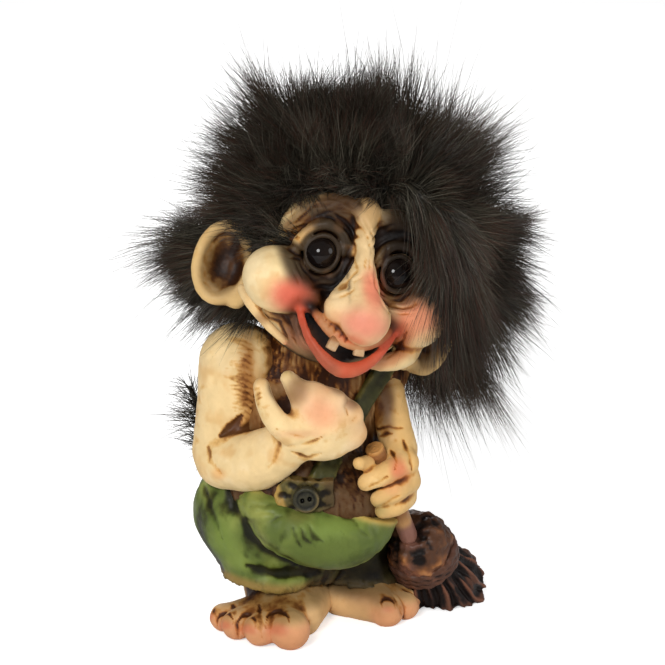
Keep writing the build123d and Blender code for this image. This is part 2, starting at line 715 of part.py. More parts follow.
def is_taken(point):
    """Whether a point lies in a mass of hair, or near the room that the face or the ear needs."""
    for share, size_shares in zip(HAIR_SHARES, HAIR_SIZE_SHARES):
        if is_inside(point - HEAD_CENTRE - head_size(share), hair_radii(size_shares)):
            return True
    on_the_head = (HEAD_FRAME.inverse() * Location(point)).position
    for share, size_shares in ((FACE_SHARE, FACE_SIZE_SHARES), (EAR_ROOM_SHARE, EAR_ROOM_SIZE_SHARES)):
        if is_inside(on_the_head - head_size(share), head_size(size_shares) * ROOM_MARGIN_SHARE):
            return True
    return False


def fur_lock(root, tip, radius):
    """A pointed lock of fur."""
    heading = (tip - root).normalized()
    across = heading.cross(Vector(*LIMB_REFERENCE)).normalized()
    middle = (root + tip) / 2
    rings = [
        ring_points(root, heading, across, radius, LOCK_SIDES),
        ring_points(middle, heading, across, radius * LOCK_MIDDLE_SIZE_SHARE, LOCK_SIDES),
    ]
    return closed_skin(rings, root, tip)


def hair_forms(share, size_shares):
    """A mass of hair and the locks that spring from its free side, away from the head."""
    centre = HEAD_CENTRE + head_size(share)
    radii = hair_radii(size_shares)
    forms = [lump(Location(centre), radii)]
    for step in range(LOCKS_TRIED):
        height = 1 - (2 * step + 1) / LOCKS_TRIED
        turn = GOLDEN_TURN * step
        level = sqrt(1 - height * height)
        unit = (level * cos(turn), level * sin(turn), height)
        if unit[1] < LOCK_FRONT_LIMIT_SHARE or height < LOCK_BOTTOM_LIMIT_SHARE:
            continue
        surface = centre + Vector(*[part * radius for part, radius in zip(unit, radii)])
        heading = (surface - HEAD_CENTRE).normalized() - Vector(0, 0, LOCK_DROOP_SHARE)
        tip = surface + heading * LOCK_LENGTH
        if any(is_taken(surface + heading * (LOCK_LENGTH * share)) for share in LOCK_TEST_SHARES):
            continue
        root = surface - heading * (LOCK_LENGTH * (1 - LOCK_ROOT_SHARE))
        forms.append(fur_lock(root, tip, LOCK_RADIUS))
    return forms


free_space = [
    head_lump(FACE_SHARE, head_size(FACE_SIZE_SHARES)),
    head_lump(EAR_ROOM_SHARE, head_size(EAR_ROOM_SIZE_SHARES)),
]
hard_parts = [
    head.part,
    trunk.part,
    brace_strap.part,
    left_ear.part,
    right_ear.part,
    left_arm.part,
    right_arm.part,
]

with BuildPart() as hair_crown:
    add(hair_forms(CROWN_SHARE, CROWN_SIZE_SHARES))
    add([*free_space, *hard_parts], mode=Mode.SUBTRACT)

with BuildPart() as hair_back:
    add(hair_forms(BACK_SHARE, BACK_SIZE_SHARES))
    add([*free_space, *hard_parts, hair_crown.part], mode=Mode.SUBTRACT)

with BuildPart() as hair_left:
    add(hair_forms(LEFT_SIDE_SHARE, LEFT_SIDE_SIZE_SHARES))
    add([*free_space, *hard_parts, hair_crown.part, hair_back.part], mode=Mode.SUBTRACT)

with BuildPart() as hair_right:
    add(hair_forms(RIGHT_SIDE_SHARE, RIGHT_SIDE_SIZE_SHARES))
    add([*free_space, *hard_parts, hair_crown.part, hair_back.part], mode=Mode.SUBTRACT)

with BuildPart() as hair_fringe:
    add(head_limb(FRINGE_SHARES, sized(FRINGE_RADIUS, FRINGE_SIZE_SHARES)))
    add([head.part, hair_crown.part, hair_left.part, hair_right.part], mode=Mode.SUBTRACT)

finish(broom_handle, "broom_handle")
finish(broom_head, "broom_head")
finish(broom_binding, "broom_binding")
finish(broom_twigs, "broom_twigs")
finish(trunk, "trunk")
finish(trousers, "trousers")
finish(right_foot, "right_foot")
finish(left_foot, "left_foot")
finish(right_arm, "right_arm")
finish(left_arm, "left_arm")
finish(brace_strap, "brace_strap")
finish(strap_patch, "strap_patch")
finish(button, "button")
finish(head, "head")
finish(right_ear, "right_ear")
finish(left_ear, "left_ear")
finish(right_eye, "right_eye")
finish(left_eye, "left_eye")
finish(teeth, "teeth")
finish(tail, "tail")
finish(tail_brush, "tail_brush")
finish(hair_crown, "hair_crown")
finish(hair_back, "hair_back")
finish(hair_left, "hair_left")
finish(hair_right, "hair_right")
finish(hair_fringe, "hair_fringe")
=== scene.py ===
from math import cos, pi, radians, sin, tau

import bpy
import numpy as np
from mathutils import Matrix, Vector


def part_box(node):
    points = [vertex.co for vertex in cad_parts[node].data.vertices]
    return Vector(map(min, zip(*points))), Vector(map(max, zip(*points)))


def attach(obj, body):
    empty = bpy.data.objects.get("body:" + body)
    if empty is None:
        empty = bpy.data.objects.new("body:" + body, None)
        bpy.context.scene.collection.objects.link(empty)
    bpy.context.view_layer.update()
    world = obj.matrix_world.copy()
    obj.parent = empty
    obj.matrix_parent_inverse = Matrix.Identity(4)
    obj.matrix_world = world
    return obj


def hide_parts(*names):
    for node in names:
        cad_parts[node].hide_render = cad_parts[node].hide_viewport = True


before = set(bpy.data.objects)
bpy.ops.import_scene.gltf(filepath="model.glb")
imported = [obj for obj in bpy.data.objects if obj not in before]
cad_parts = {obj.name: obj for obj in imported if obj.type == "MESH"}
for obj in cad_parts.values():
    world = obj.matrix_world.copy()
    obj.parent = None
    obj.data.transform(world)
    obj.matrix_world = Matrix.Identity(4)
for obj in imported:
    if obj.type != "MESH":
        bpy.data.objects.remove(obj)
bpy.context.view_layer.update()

import openvdb
from mathutils import Matrix, Vector

# A hand-painted cast troll with a real fur head of hair, rolled trousers on a brace and a twig broom.
# Shapes are modelled in clay in millimetres and turned into meshes in metres at the very end.
# The castings are signed distances on a grid, which blend into each other as pressed clay does.

MM = 0.001
SEED = 7

# Sizes of the figure, in millimetres
HEAD_TURN = radians(-5.8)
HEAD_NOD = radians(-11.3)
HEAD_TILT = radians(18.6)
HEAD_RISE = np.array((5.2, -7.3, 106.1))
EYE_RADIUS = 5.0
EYE_SPOT = np.array((11.2, -21.3, 5.1))

# The photograph's camera: its heading, height and distance from the middle of the figure
CAMERA_TARGET = np.array((6.32, -2.30, 87.42))
CAMERA_HEADING = radians(-20.0)
CAMERA_RISE = radians(17.0)
CAMERA_DISTANCE = 800.0
CAMERA_LENS = 149.41
SENSOR = 36.0
FRAME_SIDE = 665

# Clay
FAR = 5.0
CLAY_MARGIN = 3.5

# Noise: the values along each side of its lattice, and where the figure's frame starts in it
LATTICE = 48
LATTICE_START = 500


def display(red, green, blue):
    """A colour as it is seen on a display, 0 to 255, turned into the linear values of light."""
    shares = np.array((red, green, blue), float) / 255
    return np.where(shares <= 0.04045, shares / 12.92, ((shares + 0.055) / 1.055) ** 2.4)


def soft(values, low, high):
    """A smooth rise from 0 at low to 1 at high."""
    share = np.clip((values - low) / (high - low), 0, 1)
    return share * share * (3 - 2 * share)


class Place:
    """A frame of its own: an origin in millimetres and three axes, kept as columns."""

    def __init__(self, origin, axes):
        self.origin = np.array(origin, float)
        self.axes = np.array(axes, float)

    def out(self, points):
        """Points of this frame, in the figure's frame."""
        return np.array(points, float) @ self.axes.T + self.origin

    def into(self, x, y, z):
        """Points of the figure's frame, in this frame, as three arrays."""
        x, y, z = x - self.origin[0], y - self.origin[1], z - self.origin[2]
        return tuple(x * axis[0] + y * axis[1] + z * axis[2] for axis in self.axes.T)

    def points_in(self, points):
        return (points - self.origin) @ self.axes

    def child(self, origin, turn=(0, 0, 0)):
        """A frame inside this one, turned about its X, then Y, then Z, in degrees."""
        own = np.eye(3)
        for axis, angle in zip("XYZ", turn):
            own = np.array(Matrix.Rotation(radians(angle), 3, axis)) @ own
        return Place(self.out(origin), self.axes @ own)


def middle(node):
    """The middle of a node's box, in millimetres."""
    low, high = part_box(node)
    return np.array((low + high) / 2) / MM


head_axes = (
    Matrix.Rotation(HEAD_TURN, 3, "Z")
    @ Matrix.Rotation(HEAD_NOD, 3, "X")
    @ Matrix.Rotation(HEAD_TILT, 3, "Y")
)
between_eyes = (middle("right_eye") + middle("left_eye")) / 2
HEAD = Place((0, 0, 0), head_axes)
HEAD.origin = between_eyes - HEAD.out((0, EYE_SPOT[1], EYE_SPOT[2]))
BODY = Place(HEAD.origin - HEAD_RISE, np.eye(3))


camera_back = np.array(
    (sin(CAMERA_HEADING) * cos(CAMERA_RISE), -cos(CAMERA_HEADING) * cos(CAMERA_RISE), sin(CAMERA_RISE))
)
camera_right = np.array((cos(CAMERA_HEADING), sin(CAMERA_HEADING), 0))
CAMERA = Place(
    BODY.out(CAMERA_TARGET) + camera_back * CAMERA_DISTANCE,
    np.stack((camera_right, np.cross(camera_back, camera_right), camera_back), 1),
)


def seen(points):
    """Where points appear in the photograph's frame, in its pixels from the upper left corner."""
    own = CAMERA.points_in(points)
    scale = CAMERA_LENS / SENSOR * FRAME_SIDE / -own[:, 2]
    return np.stack((FRAME_SIDE / 2 + own[:, 0] * scale, FRAME_SIDE / 2 - own[:, 1] * scale), 1)


# Forms of clay. Each is a pair of box corners and a function that gives signed distances.


def ball(place, centre, radii, turn=(0, 0, 0)):
    """An ellipsoid, turned in its place."""
    own = place.child(centre, turn)
    radii = np.array(radii, float) * np.ones(3)
    reach = np.abs(own.axes) @ radii

    def distance(x, y, z):
        parts = own.into(x, y, z)
        near = np.sqrt(sum((part / radius) ** 2 for part, radius in zip(parts, radii)))
        slope = np.sqrt(sum((part / radius**2) ** 2 for part, radius in zip(parts, radii)))
        return near * (near - 1) / np.maximum(slope, 1e-6)

    return own.origin - reach, own.origin + reach, distance


def rounded(points, radii, steps=3):
    """More points and radii on a smooth curve through those given."""
    given = np.column_stack((points, radii))
    padded = np.vstack((2 * given[0] - given[1], given, 2 * given[-1] - given[-2]))
    made = []
    for a, b, c, d in zip(padded, padded[1:], padded[2:], padded[3:]):
        for share in np.arange(steps) / steps:
            bend = share**2 * (2 * a - 5 * b + 4 * c - d) / 2
            twist = share**3 * (3 * b - a - 3 * c + d) / 2
            made.append(b + share * (c - a) / 2 + bend + twist)
    made = np.array(made + [given[-1]])
    return made[:, :3], made[:, 3]


def rope(place, points, radii):
    """A limb or roll through points, with a radius at each."""
    radii = np.array(radii, float) * np.ones(len(points))
    if len(points) > 2:
        points, radii = rounded(points, radii)
    ends = place.out(points)

    def distance(x, y, z):
        best = FAR * 4
        for start, end, thick, thin in zip(ends, ends[1:], radii, radii[1:]):
            run = end - start
            aside = (x - start[0], y - start[1], z - start[2])
            along = np.clip(sum(a * r for a, r in zip(aside, run)) / (run @ run), 0, 1)
            gap = np.sqrt(sum((a - along * r) ** 2 for a, r in zip(aside, run)))
            best = np.minimum(best, gap - thick - (thin - thick) * along)
        return best

    reach = radii.max()
    return ends.min(0) - reach, ends.max(0) + reach, distance


def ring(place, centre, turn, radius, tube, flat=1.0):
    """A torus round its own Z axis; flat stretches its tube along that axis."""
    own = place.child(centre, turn)

    def distance(x, y, z):
        x, y, z = own.into(x, y, z)
        return np.sqrt((np.sqrt(x * x + y * y) - radius) ** 2 + (z / flat) ** 2) - tube

    reach = np.array([radius + tube * max(flat, 1)] * 3)
    return own.origin - reach, own.origin + reach, distance


def disc(place, centre, radius, half_height, edge=0.3):
    """A round plate with a soft edge, square to its own Z axis."""
    own = place.child(centre)

    def distance(x, y, z):
        x, y, z = own.into(x, y, z)
        out = np.sqrt(x * x + y * y) - radius + edge
        up = np.abs(z) - half_height + edge
        beyond = np.sqrt(np.maximum(out, 0) ** 2 + np.maximum(up, 0) ** 2)
        return beyond + np.minimum(np.maximum(out, up), 0) - edge

    reach = np.array([max(radius, half_height)] * 3)
    return own.origin - reach, own.origin + reach, distance


def block(place, halves, edge):
    """A box with rounded edges, in the middle of its place."""
    halves = np.array(halves, float)

    def distance(x, y, z):
        parts = [np.abs(part) - half + edge for part, half in zip(place.into(x, y, z), halves)]
        beyond = np.sqrt(sum(np.maximum(part, 0) ** 2 for part in parts))
        return beyond + np.minimum(np.maximum(np.maximum(parts[0], parts[1]), parts[2]), 0) - edge

    reach = np.abs(place.axes) @ halves
    return place.origin - reach, place.origin + reach, distance


class Clay:
    """A block of clay, held as signed distances on a grid."""

    def __init__(self, forms, step, margin=4.0):
        self.step = step
        self.low = np.min([form[0] for form in forms], 0) - margin
        high = np.max([form[1] for form in forms], 0) + margin
        self.counts = np.ceil((high - self.low) / step).astype(int) + 1
        self.field = np.full(self.counts, FAR, np.float32)

    def part(self, form, blend):
        """The slices of the grid near a form, and the form's distances there."""
        margin = CLAY_MARGIN + blend
        first = np.clip(((form[0] - margin - self.low) / self.step).astype(int), 0, self.counts)
        last = np.clip(((form[1] + margin - self.low) / self.step).astype(int) + 2, 0, self.counts)
        cut = tuple(slice(a, b) for a, b in zip(first, last))
        lines = [self.low[i] + self.step * np.arange(first[i], last[i]) for i in range(3)]
        x, y, z = np.ix_(*lines)
        return cut, form[2](x, y, z)

    def add(self, *forms, blend=1.5):
        for form in forms:
            cut, new = self.part(form, blend)
            old = self.field[cut]
            share = np.clip(0.5 + 0.5 * (old - new) / blend, 0, 1)
            self.field[cut] = old * (1 - share) + new * share - blend * share * (1 - share)
        return self

    def cut(self, *forms, blend=0.8):
        for form in forms:
            cut, new = self.part(form, blend)
            old = self.field[cut]
            share = np.clip(0.5 - 0.5 * (old + new) / blend, 0, 1)
            self.field[cut] = old * (1 - share) - new * share + blend * share * (1 - share)
        return self

    def keep(self, outside):
        """Keep only what lies where a function of x, y and z is below zero."""
        cut, new = self.part((self.low, self.low + self.step * self.counts, outside), 0)
        self.field[cut] = np.maximum(self.field[cut], new)
        return self

    def sample(self, field, points):
        """Values of a field on this grid at points, between grid points."""
        spots = (points - self.low) / self.step
        cell = np.clip(np.floor(spots).astype(int), 0, self.counts - 2)
        share = np.clip(spots - cell, 0, 1)
        total = 0
        for corner in np.ndindex(2, 2, 2):
            weight = np.prod(np.where(corner, share, 1 - share), 1)
            total = total + weight * field[tuple((cell + corner).T)]
        return total

    def fullness(self, reach):
        """How much clay lies around each grid point, as a share, within a reach."""
        width = max(int(round(reach / self.step)), 1)
        filled = np.clip(0.5 - self.field / self.step, 0, 1)
        for axis in (0, 1, 2, 0, 1, 2):
            pad = [(0, 0)] * 3
            pad[axis] = (width + 1, width)
            total = np.cumsum(np.pad(filled, pad, mode="edge"), axis)
            length = filled.shape[axis]
            ahead = np.take(total, range(2 * width + 1, 2 * width + 1 + length), axis)
            behind = np.take(total, range(length), axis)
            filled = (ahead - behind) / (2 * width + 1)
        return filled

    def skin(self):
        """The surface as points in millimetres and faces that point outwards."""
        grid = openvdb.FloatGrid(FAR)
        grid.copyFromArray(np.clip(self.field, -FAR, FAR))
        points, quads = grid.convertToQuads(0.0)
        return points.astype(float) * self.step + self.low, quads.astype(int)


class Noise:
    """Smooth noise in space, from a lattice of fixed random values."""

    def __init__(self, seed):
        self.values = np.random.RandomState(seed).rand(LATTICE, LATTICE, LATTICE)

    def at(self, points, size, stretch=(1, 1, 1)):
        """Noise from -1 to 1 whose bumps are about a size across, drawn out along an axis."""
        spots = points / (size * np.array(stretch, float)) + LATTICE_START
        cell = np.floor(spots).astype(int)
        share = spots - cell
        share = share * share * (3 - 2 * share)
        total = 0
        for corner in np.ndindex(2, 2, 2):
            weight = np.prod(np.where(corner, share, 1 - share), 1)
            total = total + weight * self.values[tuple(((cell + corner) % LATTICE).T)]
        return total * 2 - 1

    def rough(self, points, size, stretch=(1, 1, 1)):
        """Noise with two finer layers on top."""
        return (
            self.at(points, size, stretch)
            + 0.5 * self.at(points, size / 2.1, stretch)
            + 0.25 * self.at(points, size / 4.3, stretch)
        ) / 1.5


noise = Noise(SEED)


def line_trace(points, line):
    """Distances from points to a line through given points, and how far along it they lie, 0 to 1."""
    line = np.array(line, float)
    lengths = np.linalg.norm(np.diff(line, axis=0), axis=1)
    best, share, before = np.full(len(points), 1e9), np.zeros(len(points)), 0.0
    for start, end, length in zip(line, line[1:], lengths):
        along = np.clip((points - start) @ (end - start) / length**2, 0, 1)
        gap = np.linalg.norm(points - start - along[:, None] * (end - start), axis=1)
        share = np.where(gap < best, (before + along * length) / lengths.sum(), share)
        best = np.minimum(best, gap)
        before += length
    return best, share


def line_gap(points, line):
    return line_trace(points, line)[0]


# Marks a dab that adds to the wash and painted shade in place of a colour
WASH_AND_SHADE = "wash_and_shade"
# How far away a hollow is felt, in millimetres, and how much wash and painted shade it gathers
HOLLOWS = ((0.9, 3.6), (2.4, 3.0), (4.6, 1.6))
SHADE_GAP = 1.2
OPEN_SHARE = 0.42


class Skin:
    """The surface of a piece of clay while it is carved; own keeps its first points in its place."""

    def __init__(self, name, clay, place):
        self.name = name
        self.clay = clay
        self.place = place
        self.points, self.quads = clay.skin()
        self.own = place.points_in(self.points)

    def normals(self):
        corners = self.points[self.quads]
        across = np.cross(corners[:, 2] - corners[:, 0], corners[:, 3] - corners[:, 1])
        total = np.zeros_like(self.points)
        for corner in range(4):
            for axis in range(3):
                total[:, axis] += np.bincount(self.quads[:, corner], across[:, axis], len(self.points))
        return total / np.maximum(np.linalg.norm(total, axis=1), 1e-9)[:, None]

    def push(self, amount):
        """Move the surface out by an amount in millimetres at each point."""
        self.points = self.points + self.normals() * np.asarray(amount)[:, None]

    def roughen(self, depth, size):
        self.push(depth * noise.rough(self.own, size))


class Casting(Skin):
    """A skin that is carved and painted as a cast piece."""

    def __init__(self, name, clay, base, place=BODY):
        super().__init__(name, clay, place)
        self.colour = np.tile(np.array(base, float), (len(self.points), 1))
        self.wash_and_shade = np.zeros(len(self.points))
        self.looks = None

    def tint(self, share, colour):
        """Paint a colour over a share of the surface."""
        share = np.clip(share, 0, 1)[:, None]
        self.colour = self.colour * (1 - share) + np.array(colour) * share

    def mottle(self, amount, size, low, high, colour, within=1.0):
        """Patches of a colour about a size across; low and high say how readily they come and fill."""
        self.tint(amount * soft(noise.rough(self.own, size), low, high) * within, colour)

    def stroke(self, line, width, plane=(0, 1, 2)):
        """A soft stroke from 0 to 1 along a line, seen along the axis that the plane leaves out."""
        own = self.place.points_in(self.points)
        return np.exp(-((line_gap(own[:, list(plane)], line) / width) ** 2))

    def view(self):
        """Where the points appear in the photograph's frame, and how squarely they face its camera."""
        if self.looks is None:
            self.looks = seen(self.points), soft(self.normals() @ camera_back, 0.05, 0.4)
        return self.looks

    def scratches(self, depth, width, wash_and_shade, *lines):
        """Creases where the photograph shows them; lines and width are in its pixels."""
        spots, facing = self.view()
        uneven = noise.at(self.points, 2.4)
        wander = np.stack((uneven, noise.at(self.points + 90, 2.8)), 1)
        for line in lines:
            gap, along = line_trace(spots + 1.3 * wander, line)
            thick = width * (0.3 + 0.7 * np.sin(pi * np.clip(along, 0.03, 0.97)) ** 0.7) * (1 + 0.4 * uneven)
            share = np.exp(-((gap / thick) ** 2)) * facing
            halo = np.exp(-((gap / thick / 3.2) ** 2)) * facing
            self.push(0.7 * depth * (0.3 * halo - share))
            self.wash_and_shade = self.wash_and_shade + wash_and_shade * (0.5 * share + 0.45 * halo) * (0.8 + 0.6 * wander[:, 1])

    def dab(self, spot, size, lean=0):
        """A soft oval of paint where the photograph shows one, in its pixels; lean is in degrees."""
        spots, facing = self.view()
        away = spots - spot + 1.5 * noise.at(self.points, 2.6)[:, None]
        turn = radians(lean)
        across = away @ np.array((cos(turn), sin(turn))) / size[0]
        along = away @ np.array((-sin(turn), cos(turn))) / size[1]
        return np.exp(-((across**2 + along**2) ** 1.6)) * facing

    def dabs(self, *table):
        """Dabs of paint, each with its strength, spot, size, lean and colour; the wash marker in place of a
        colour adds to the wash and painted shade.
        """
        for amount, spot, size, lean, colour in table:
            share = amount * self.dab(spot, size, lean)
            if colour is WASH_AND_SHADE:
                self.wash_and_shade = self.wash_and_shade + share
            else:
                self.tint(share, colour)

    def antique_and_shade(self, strength=1.0, hollows=HOLLOWS):
        """Dark wash and painted shade in the hollows, bare paint on the ridges, and a thin film of wash in
        patches.
        """
        for reach, weight in hollows:
            full = self.clay.sample(self.clay.fullness(reach), self.points)
            self.wash_and_shade = self.wash_and_shade + strength * weight * np.clip(full - 0.5, -0.05, 0.4)
        patches = noise.rough(self.points, 4.5)
        streaks = soft(noise.rough(self.points, 1.6, (1, 1, 2)), 0.15, 0.7)
        self.wash_and_shade = self.wash_and_shade + strength * (0.05 + 0.16 * patches + 0.16 * streaks)

    def shade(self, strength):
        """Painted shade, added to the wash, where neighbouring pieces crowd in."""
        near = crowd.sample(crowd.nearby, self.points + self.normals() * SHADE_GAP)
        self.wash_and_shade = self.wash_and_shade + strength * np.clip(near - OPEN_SHARE, 0, 1)

    def finish(self, material, slot):
        """The finished mesh object, in metres, in the place of the node of its name."""
        made = solid(self.name + "_casting", self.points * MM, self.quads, material)
        paint = made.data.color_attributes.new("paint", "FLOAT_COLOR", "POINT")
        full = np.ones((len(self.points), 4), np.float32)
        full[:, :3] = display(*self.colour.T).T
        paint.data.foreach_set("color", full.ravel())
        # The wash and painted shade, which the material reads
        set_attribute(made.data, "wash_and_shade", np.clip(self.wash_and_shade, 0, 1))
        stand_in(made, self.name)


def solid(name, points, quads, material):
    """A smooth mesh object from arrays of points and quads."""
    mesh = bpy.data.meshes.new(name)
    mesh.vertices.add(len(points))
    mesh.vertices.foreach_set("co", points.astype(np.float32).ravel())
    mesh.loops.add(quads.size)
    mesh.loops.foreach_set("vertex_index", quads.astype(np.int32).ravel())
    mesh.polygons.add(len(quads))
    mesh.polygons.foreach_set("loop_start", np.arange(0, quads.size, 4, dtype=np.int32))
    mesh.update(calc_edges=True)
    mesh.validate()
    mesh.shade_smooth()
    mesh.materials.append(material)
    made = bpy.data.objects.new(name, mesh)
    bpy.context.scene.collection.objects.link(made)
    return made


def set_attribute(mesh, name, values):
    """A value or a vector at each point of a mesh, which its material or its fur reads."""
    kind, key = ("FLOAT_VECTOR", "vector") if values.ndim > 1 else ("FLOAT", "value")
    made = mesh.attributes.new(name, kind, "POINT")
    made.data.foreach_set(key, values.astype(np.float32).ravel())


def stand_in(made, node):
    """Put a finished piece in the place of its node."""
    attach(made, "root")
    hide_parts(node)


# Materials


class Nodes:
    """A node tree under construction, with short ways to add to it."""

    def __init__(self, tree):
        self.nodes = tree.nodes
        self.links = tree.links

    def put(self, target, value):
        """Link a socket from another one, or give it a value."""
        if isinstance(value, bpy.types.NodeSocket):
            self.links.new(value, target)
        else:
            target.default_value = value

    def node(self, kind, inputs=None, **settings):
        """A new node with its settings, and its inputs by their names."""
        made = self.nodes.new(kind)
        for key, value in settings.items():
            setattr(made, key, value)
        for name, value in (inputs or {}).items():
            self.put(made.inputs[name], value)
        return made

    def math(self, operation, *values, kind="ShaderNodeMath"):
        made = self.node(kind, operation=operation)
        for target, value in zip(made.inputs, values):
            self.put(target, value)
        return made.outputs[0]

    def vector(self, operation, *values):
        return self.math(operation, *values, kind="ShaderNodeVectorMath")


class Paint(Nodes):
    """A material under construction."""

    def __init__(self, name):
        self.material = bpy.data.materials.new(name)
        self.material.use_nodes = True
        super().__init__(self.material.node_tree)
        self.shader = self.nodes["Principled BSDF"]

    def attribute(self, name, output="Fac"):
        return self.node("ShaderNodeAttribute", attribute_name=name).outputs[output]

    def noise(self, size, detail=3.0, rough=0.55):
        """Noise in Object coordinates with bumps about a size in metres."""
        spot = self.node("ShaderNodeTexCoord").outputs["Object"]
        settings = {"Vector": spot, "Scale": 0.5 / size, "Detail": detail, "Roughness": rough}
        return self.node("ShaderNodeTexNoise", settings).outputs["Fac"]

    def spread(self, value, low, high, to_low=0.0, to_high=1.0):
        settings = {"Value": value, "From Min": low, "From Max": high, "To Min": to_low, "To Max": to_high}
        return self.node("ShaderNodeMapRange", settings).outputs["Result"]

    def ramp(self, factor, stops):
        """Colours at shares of a factor."""
        made = self.node("ShaderNodeValToRGB", {"Fac": factor})
        ramp = made.color_ramp
        for position, colour in stops[2:]:
            ramp.elements.new(position)
        for element, (position, colour) in zip(ramp.elements, stops):
            element.position = position
        for element, (position, colour) in zip(ramp.elements, stops):
            element.color = (*colour, 1)
        return made.outputs["Color"]

    def mix(self, factor, first, second, blend="MIX"):
        made = self.node("ShaderNodeMix", {"Factor": factor}, data_type="RGBA", blend_type=blend)
        for name, value in (("A", first), ("B", second)):
            socket = [s for s in made.inputs if s.name == name and s.type == "RGBA"][0]
            self.put(socket, (*value, 1) if isinstance(value, tuple) else value)
        return [s for s in made.outputs if s.type == "RGBA"][0]

    def bump(self, *layers):
        """Bumps from pairs of a height and a depth in metres, each on top of the last."""
        below = {}
        for height, depth in layers:
            inputs = {"Strength": 1.0, "Distance": depth, "Height": height, **below}
            made = self.node("ShaderNodeBump", inputs)
            below = {"Normal": made.outputs["Normal"]}
        self.put(self.shader.inputs["Normal"], below["Normal"])

    def finish(self, colour, roughness, **settings):
        self.put(self.shader.inputs["Base Color"], colour)
        self.put(self.shader.inputs["Roughness"], roughness)
        for name, value in settings.items():
            self.shader.inputs[name.replace("_", " ")].default_value = value
        return self.material


MOTTLE = ((0.3, (0.86, 0.84, 0.80)), (0.7, (1.06, 1.06, 1.06)))


def antiqued_and_shaded(name, wash_and_shade_tones, grain, depth, gloss):
    """Painted casting: base paint from the piece, with a thin dark wash and painted shade that gather in
    hollows.
    """
    paint = Paint(name)
    mottle = paint.noise(0.004, 4.0)
    fine = paint.noise(grain, 5.0, 0.65)
    base = paint.mix(1.0, paint.attribute("paint", "Color"), paint.ramp(mottle, MOTTLE), "MULTIPLY")
    wash_and_shade = paint.attribute("wash_and_shade")
    for layer, strength in ((fine, 0.42), (mottle, 0.25)):
        wash_and_shade = paint.math("ADD", wash_and_shade, paint.math("MULTIPLY", paint.math("SUBTRACT", layer, 0.5), strength))
    colour = paint.mix(1.0, base, paint.ramp(wash_and_shade, wash_and_shade_tones), "MULTIPLY")
    paint.bump((fine, depth), (paint.noise(grain * 4), depth * 2.2))
    roughness = paint.spread(paint.noise(0.006, 2.0), 0.3, 0.7, *gloss)
    return paint.finish(colour, roughness, Specular_IOR_Level=0.20)


def black_glass():
    paint = Paint("black_glass")
    stops = ((0.35, (0.003, 0.002, 0.002)), (0.75, (0.012, 0.007, 0.005)))
    colour = paint.ramp(paint.noise(0.003, 2.0), stops)
    return paint.finish(colour, 0.03, Specular_IOR_Level=0.16, Coat_Weight=0.08, Coat_Roughness=0.02)


# What the wash and painted shade multiply the paint by, from bare ridges to full hollows; on cloth and wood
# the bare ridges get a painted highlight
SKIN_WASH_AND_SHADE = (
    (0.04, (1.0, 1.0, 1.0)),
    (0.26, (0.87, 0.72, 0.50)),
    (0.52, (0.46, 0.29, 0.16)),
    (0.86, (0.12, 0.06, 0.03)),
)
CLOTH_WASH_AND_SHADE = (
    (0.04, (1.12, 1.10, 0.98)),
    (0.28, (0.78, 0.78, 0.62)),
    (0.56, (0.34, 0.30, 0.19)),
    (0.90, (0.09, 0.07, 0.045)),
)
WOOD_WASH_AND_SHADE = (
    (0.05, (1.25, 1.15, 1.05)),
    (0.30, (0.75, 0.72, 0.70)),
    (0.60, (0.32, 0.28, 0.28)),
    (0.92, (0.08, 0.07, 0.07)),
)

skin_paint = antiqued_and_shaded("painted_skin", SKIN_WASH_AND_SHADE, 0.0007, 0.00006, (0.42, 0.62))
cloth_paint = antiqued_and_shaded("painted_cloth", CLOTH_WASH_AND_SHADE, 0.0009, 0.00009, (0.38, 0.58))
wood_paint = antiqued_and_shaded("painted_wood", WOOD_WASH_AND_SHADE, 0.0008, 0.00012, (0.34, 0.55))
eye_glass = black_glass()

# Clay of the body

trunk_forms = [
    ball(BODY, (0, 0, 64), (25, 17.5, 24)),
    ball(BODY, (-2, -3, 44), (25, 20, 17)),
    ball(BODY, (5, -9, 41), (16, 17.5, 12)),
    ball(BODY, (4, -2, 86), (16.5, 15, 14.5)),
    ball(BODY, (-18, 5, 78), (10, 9, 10)),
    ball(BODY, (19, -3, 74.5), (10, 10, 10)),
]
trunk_clay = Clay(trunk_forms, 0.7).add(*trunk_forms, blend=5)

right_arm_forms = [
    rope(BODY, [(-20.3, 2.6, 79.5), (-22.3, 2, 67), (-26.2, 0.5, 55)], (12.0, 11.0, 9.2)),
    rope(BODY, [(-26.5, -2, 52.5), (-20.5, -13.5, 55.2), (-13.5, -22.0, 62.5)], (8.8, 8.6, 6.8)),
]
right_hand_forms = [
    ball(BODY, (-5.5, -27.5, 69.5), (9.8, 6.6, 9.0), (0, 20, 0)),
    ball(BODY, (-3.5, -27, 63), (8.2, 5.4, 4.8), (0, -12, 0)),
    rope(
        BODY,
        [(-13, -27, 66), (-19.0, -27.8, 70.5), (-22.0, -26.0, 76), (-22.8, -24.2, 81)],
        (4.4, 3.5, 2.8, 2.3),
    ),
    rope(BODY, [(-8.8, -26.5, 73.5), (-12.2, -26.2, 78.5), (-15.2, -25.2, 82.8)], (4.2, 3.5, 2.3)),
]
KNUCKLES = [
    ((-8.6, -28.2, 77.6), 4.2), ((-3.6, -29.8, 75.4), 4.2),
    ((1.4, -29.6, 71.2), 4.1), ((3.0, -28.6, 65.5), 3.9),
]
right_hand_forms += [ball(BODY, spot, size) for spot, size in KNUCKLES]
right_arm_clay = Clay(right_arm_forms + right_hand_forms, 0.55)
right_arm_clay.add(*right_arm_forms, blend=1.6).add(*right_hand_forms, blend=2.6)

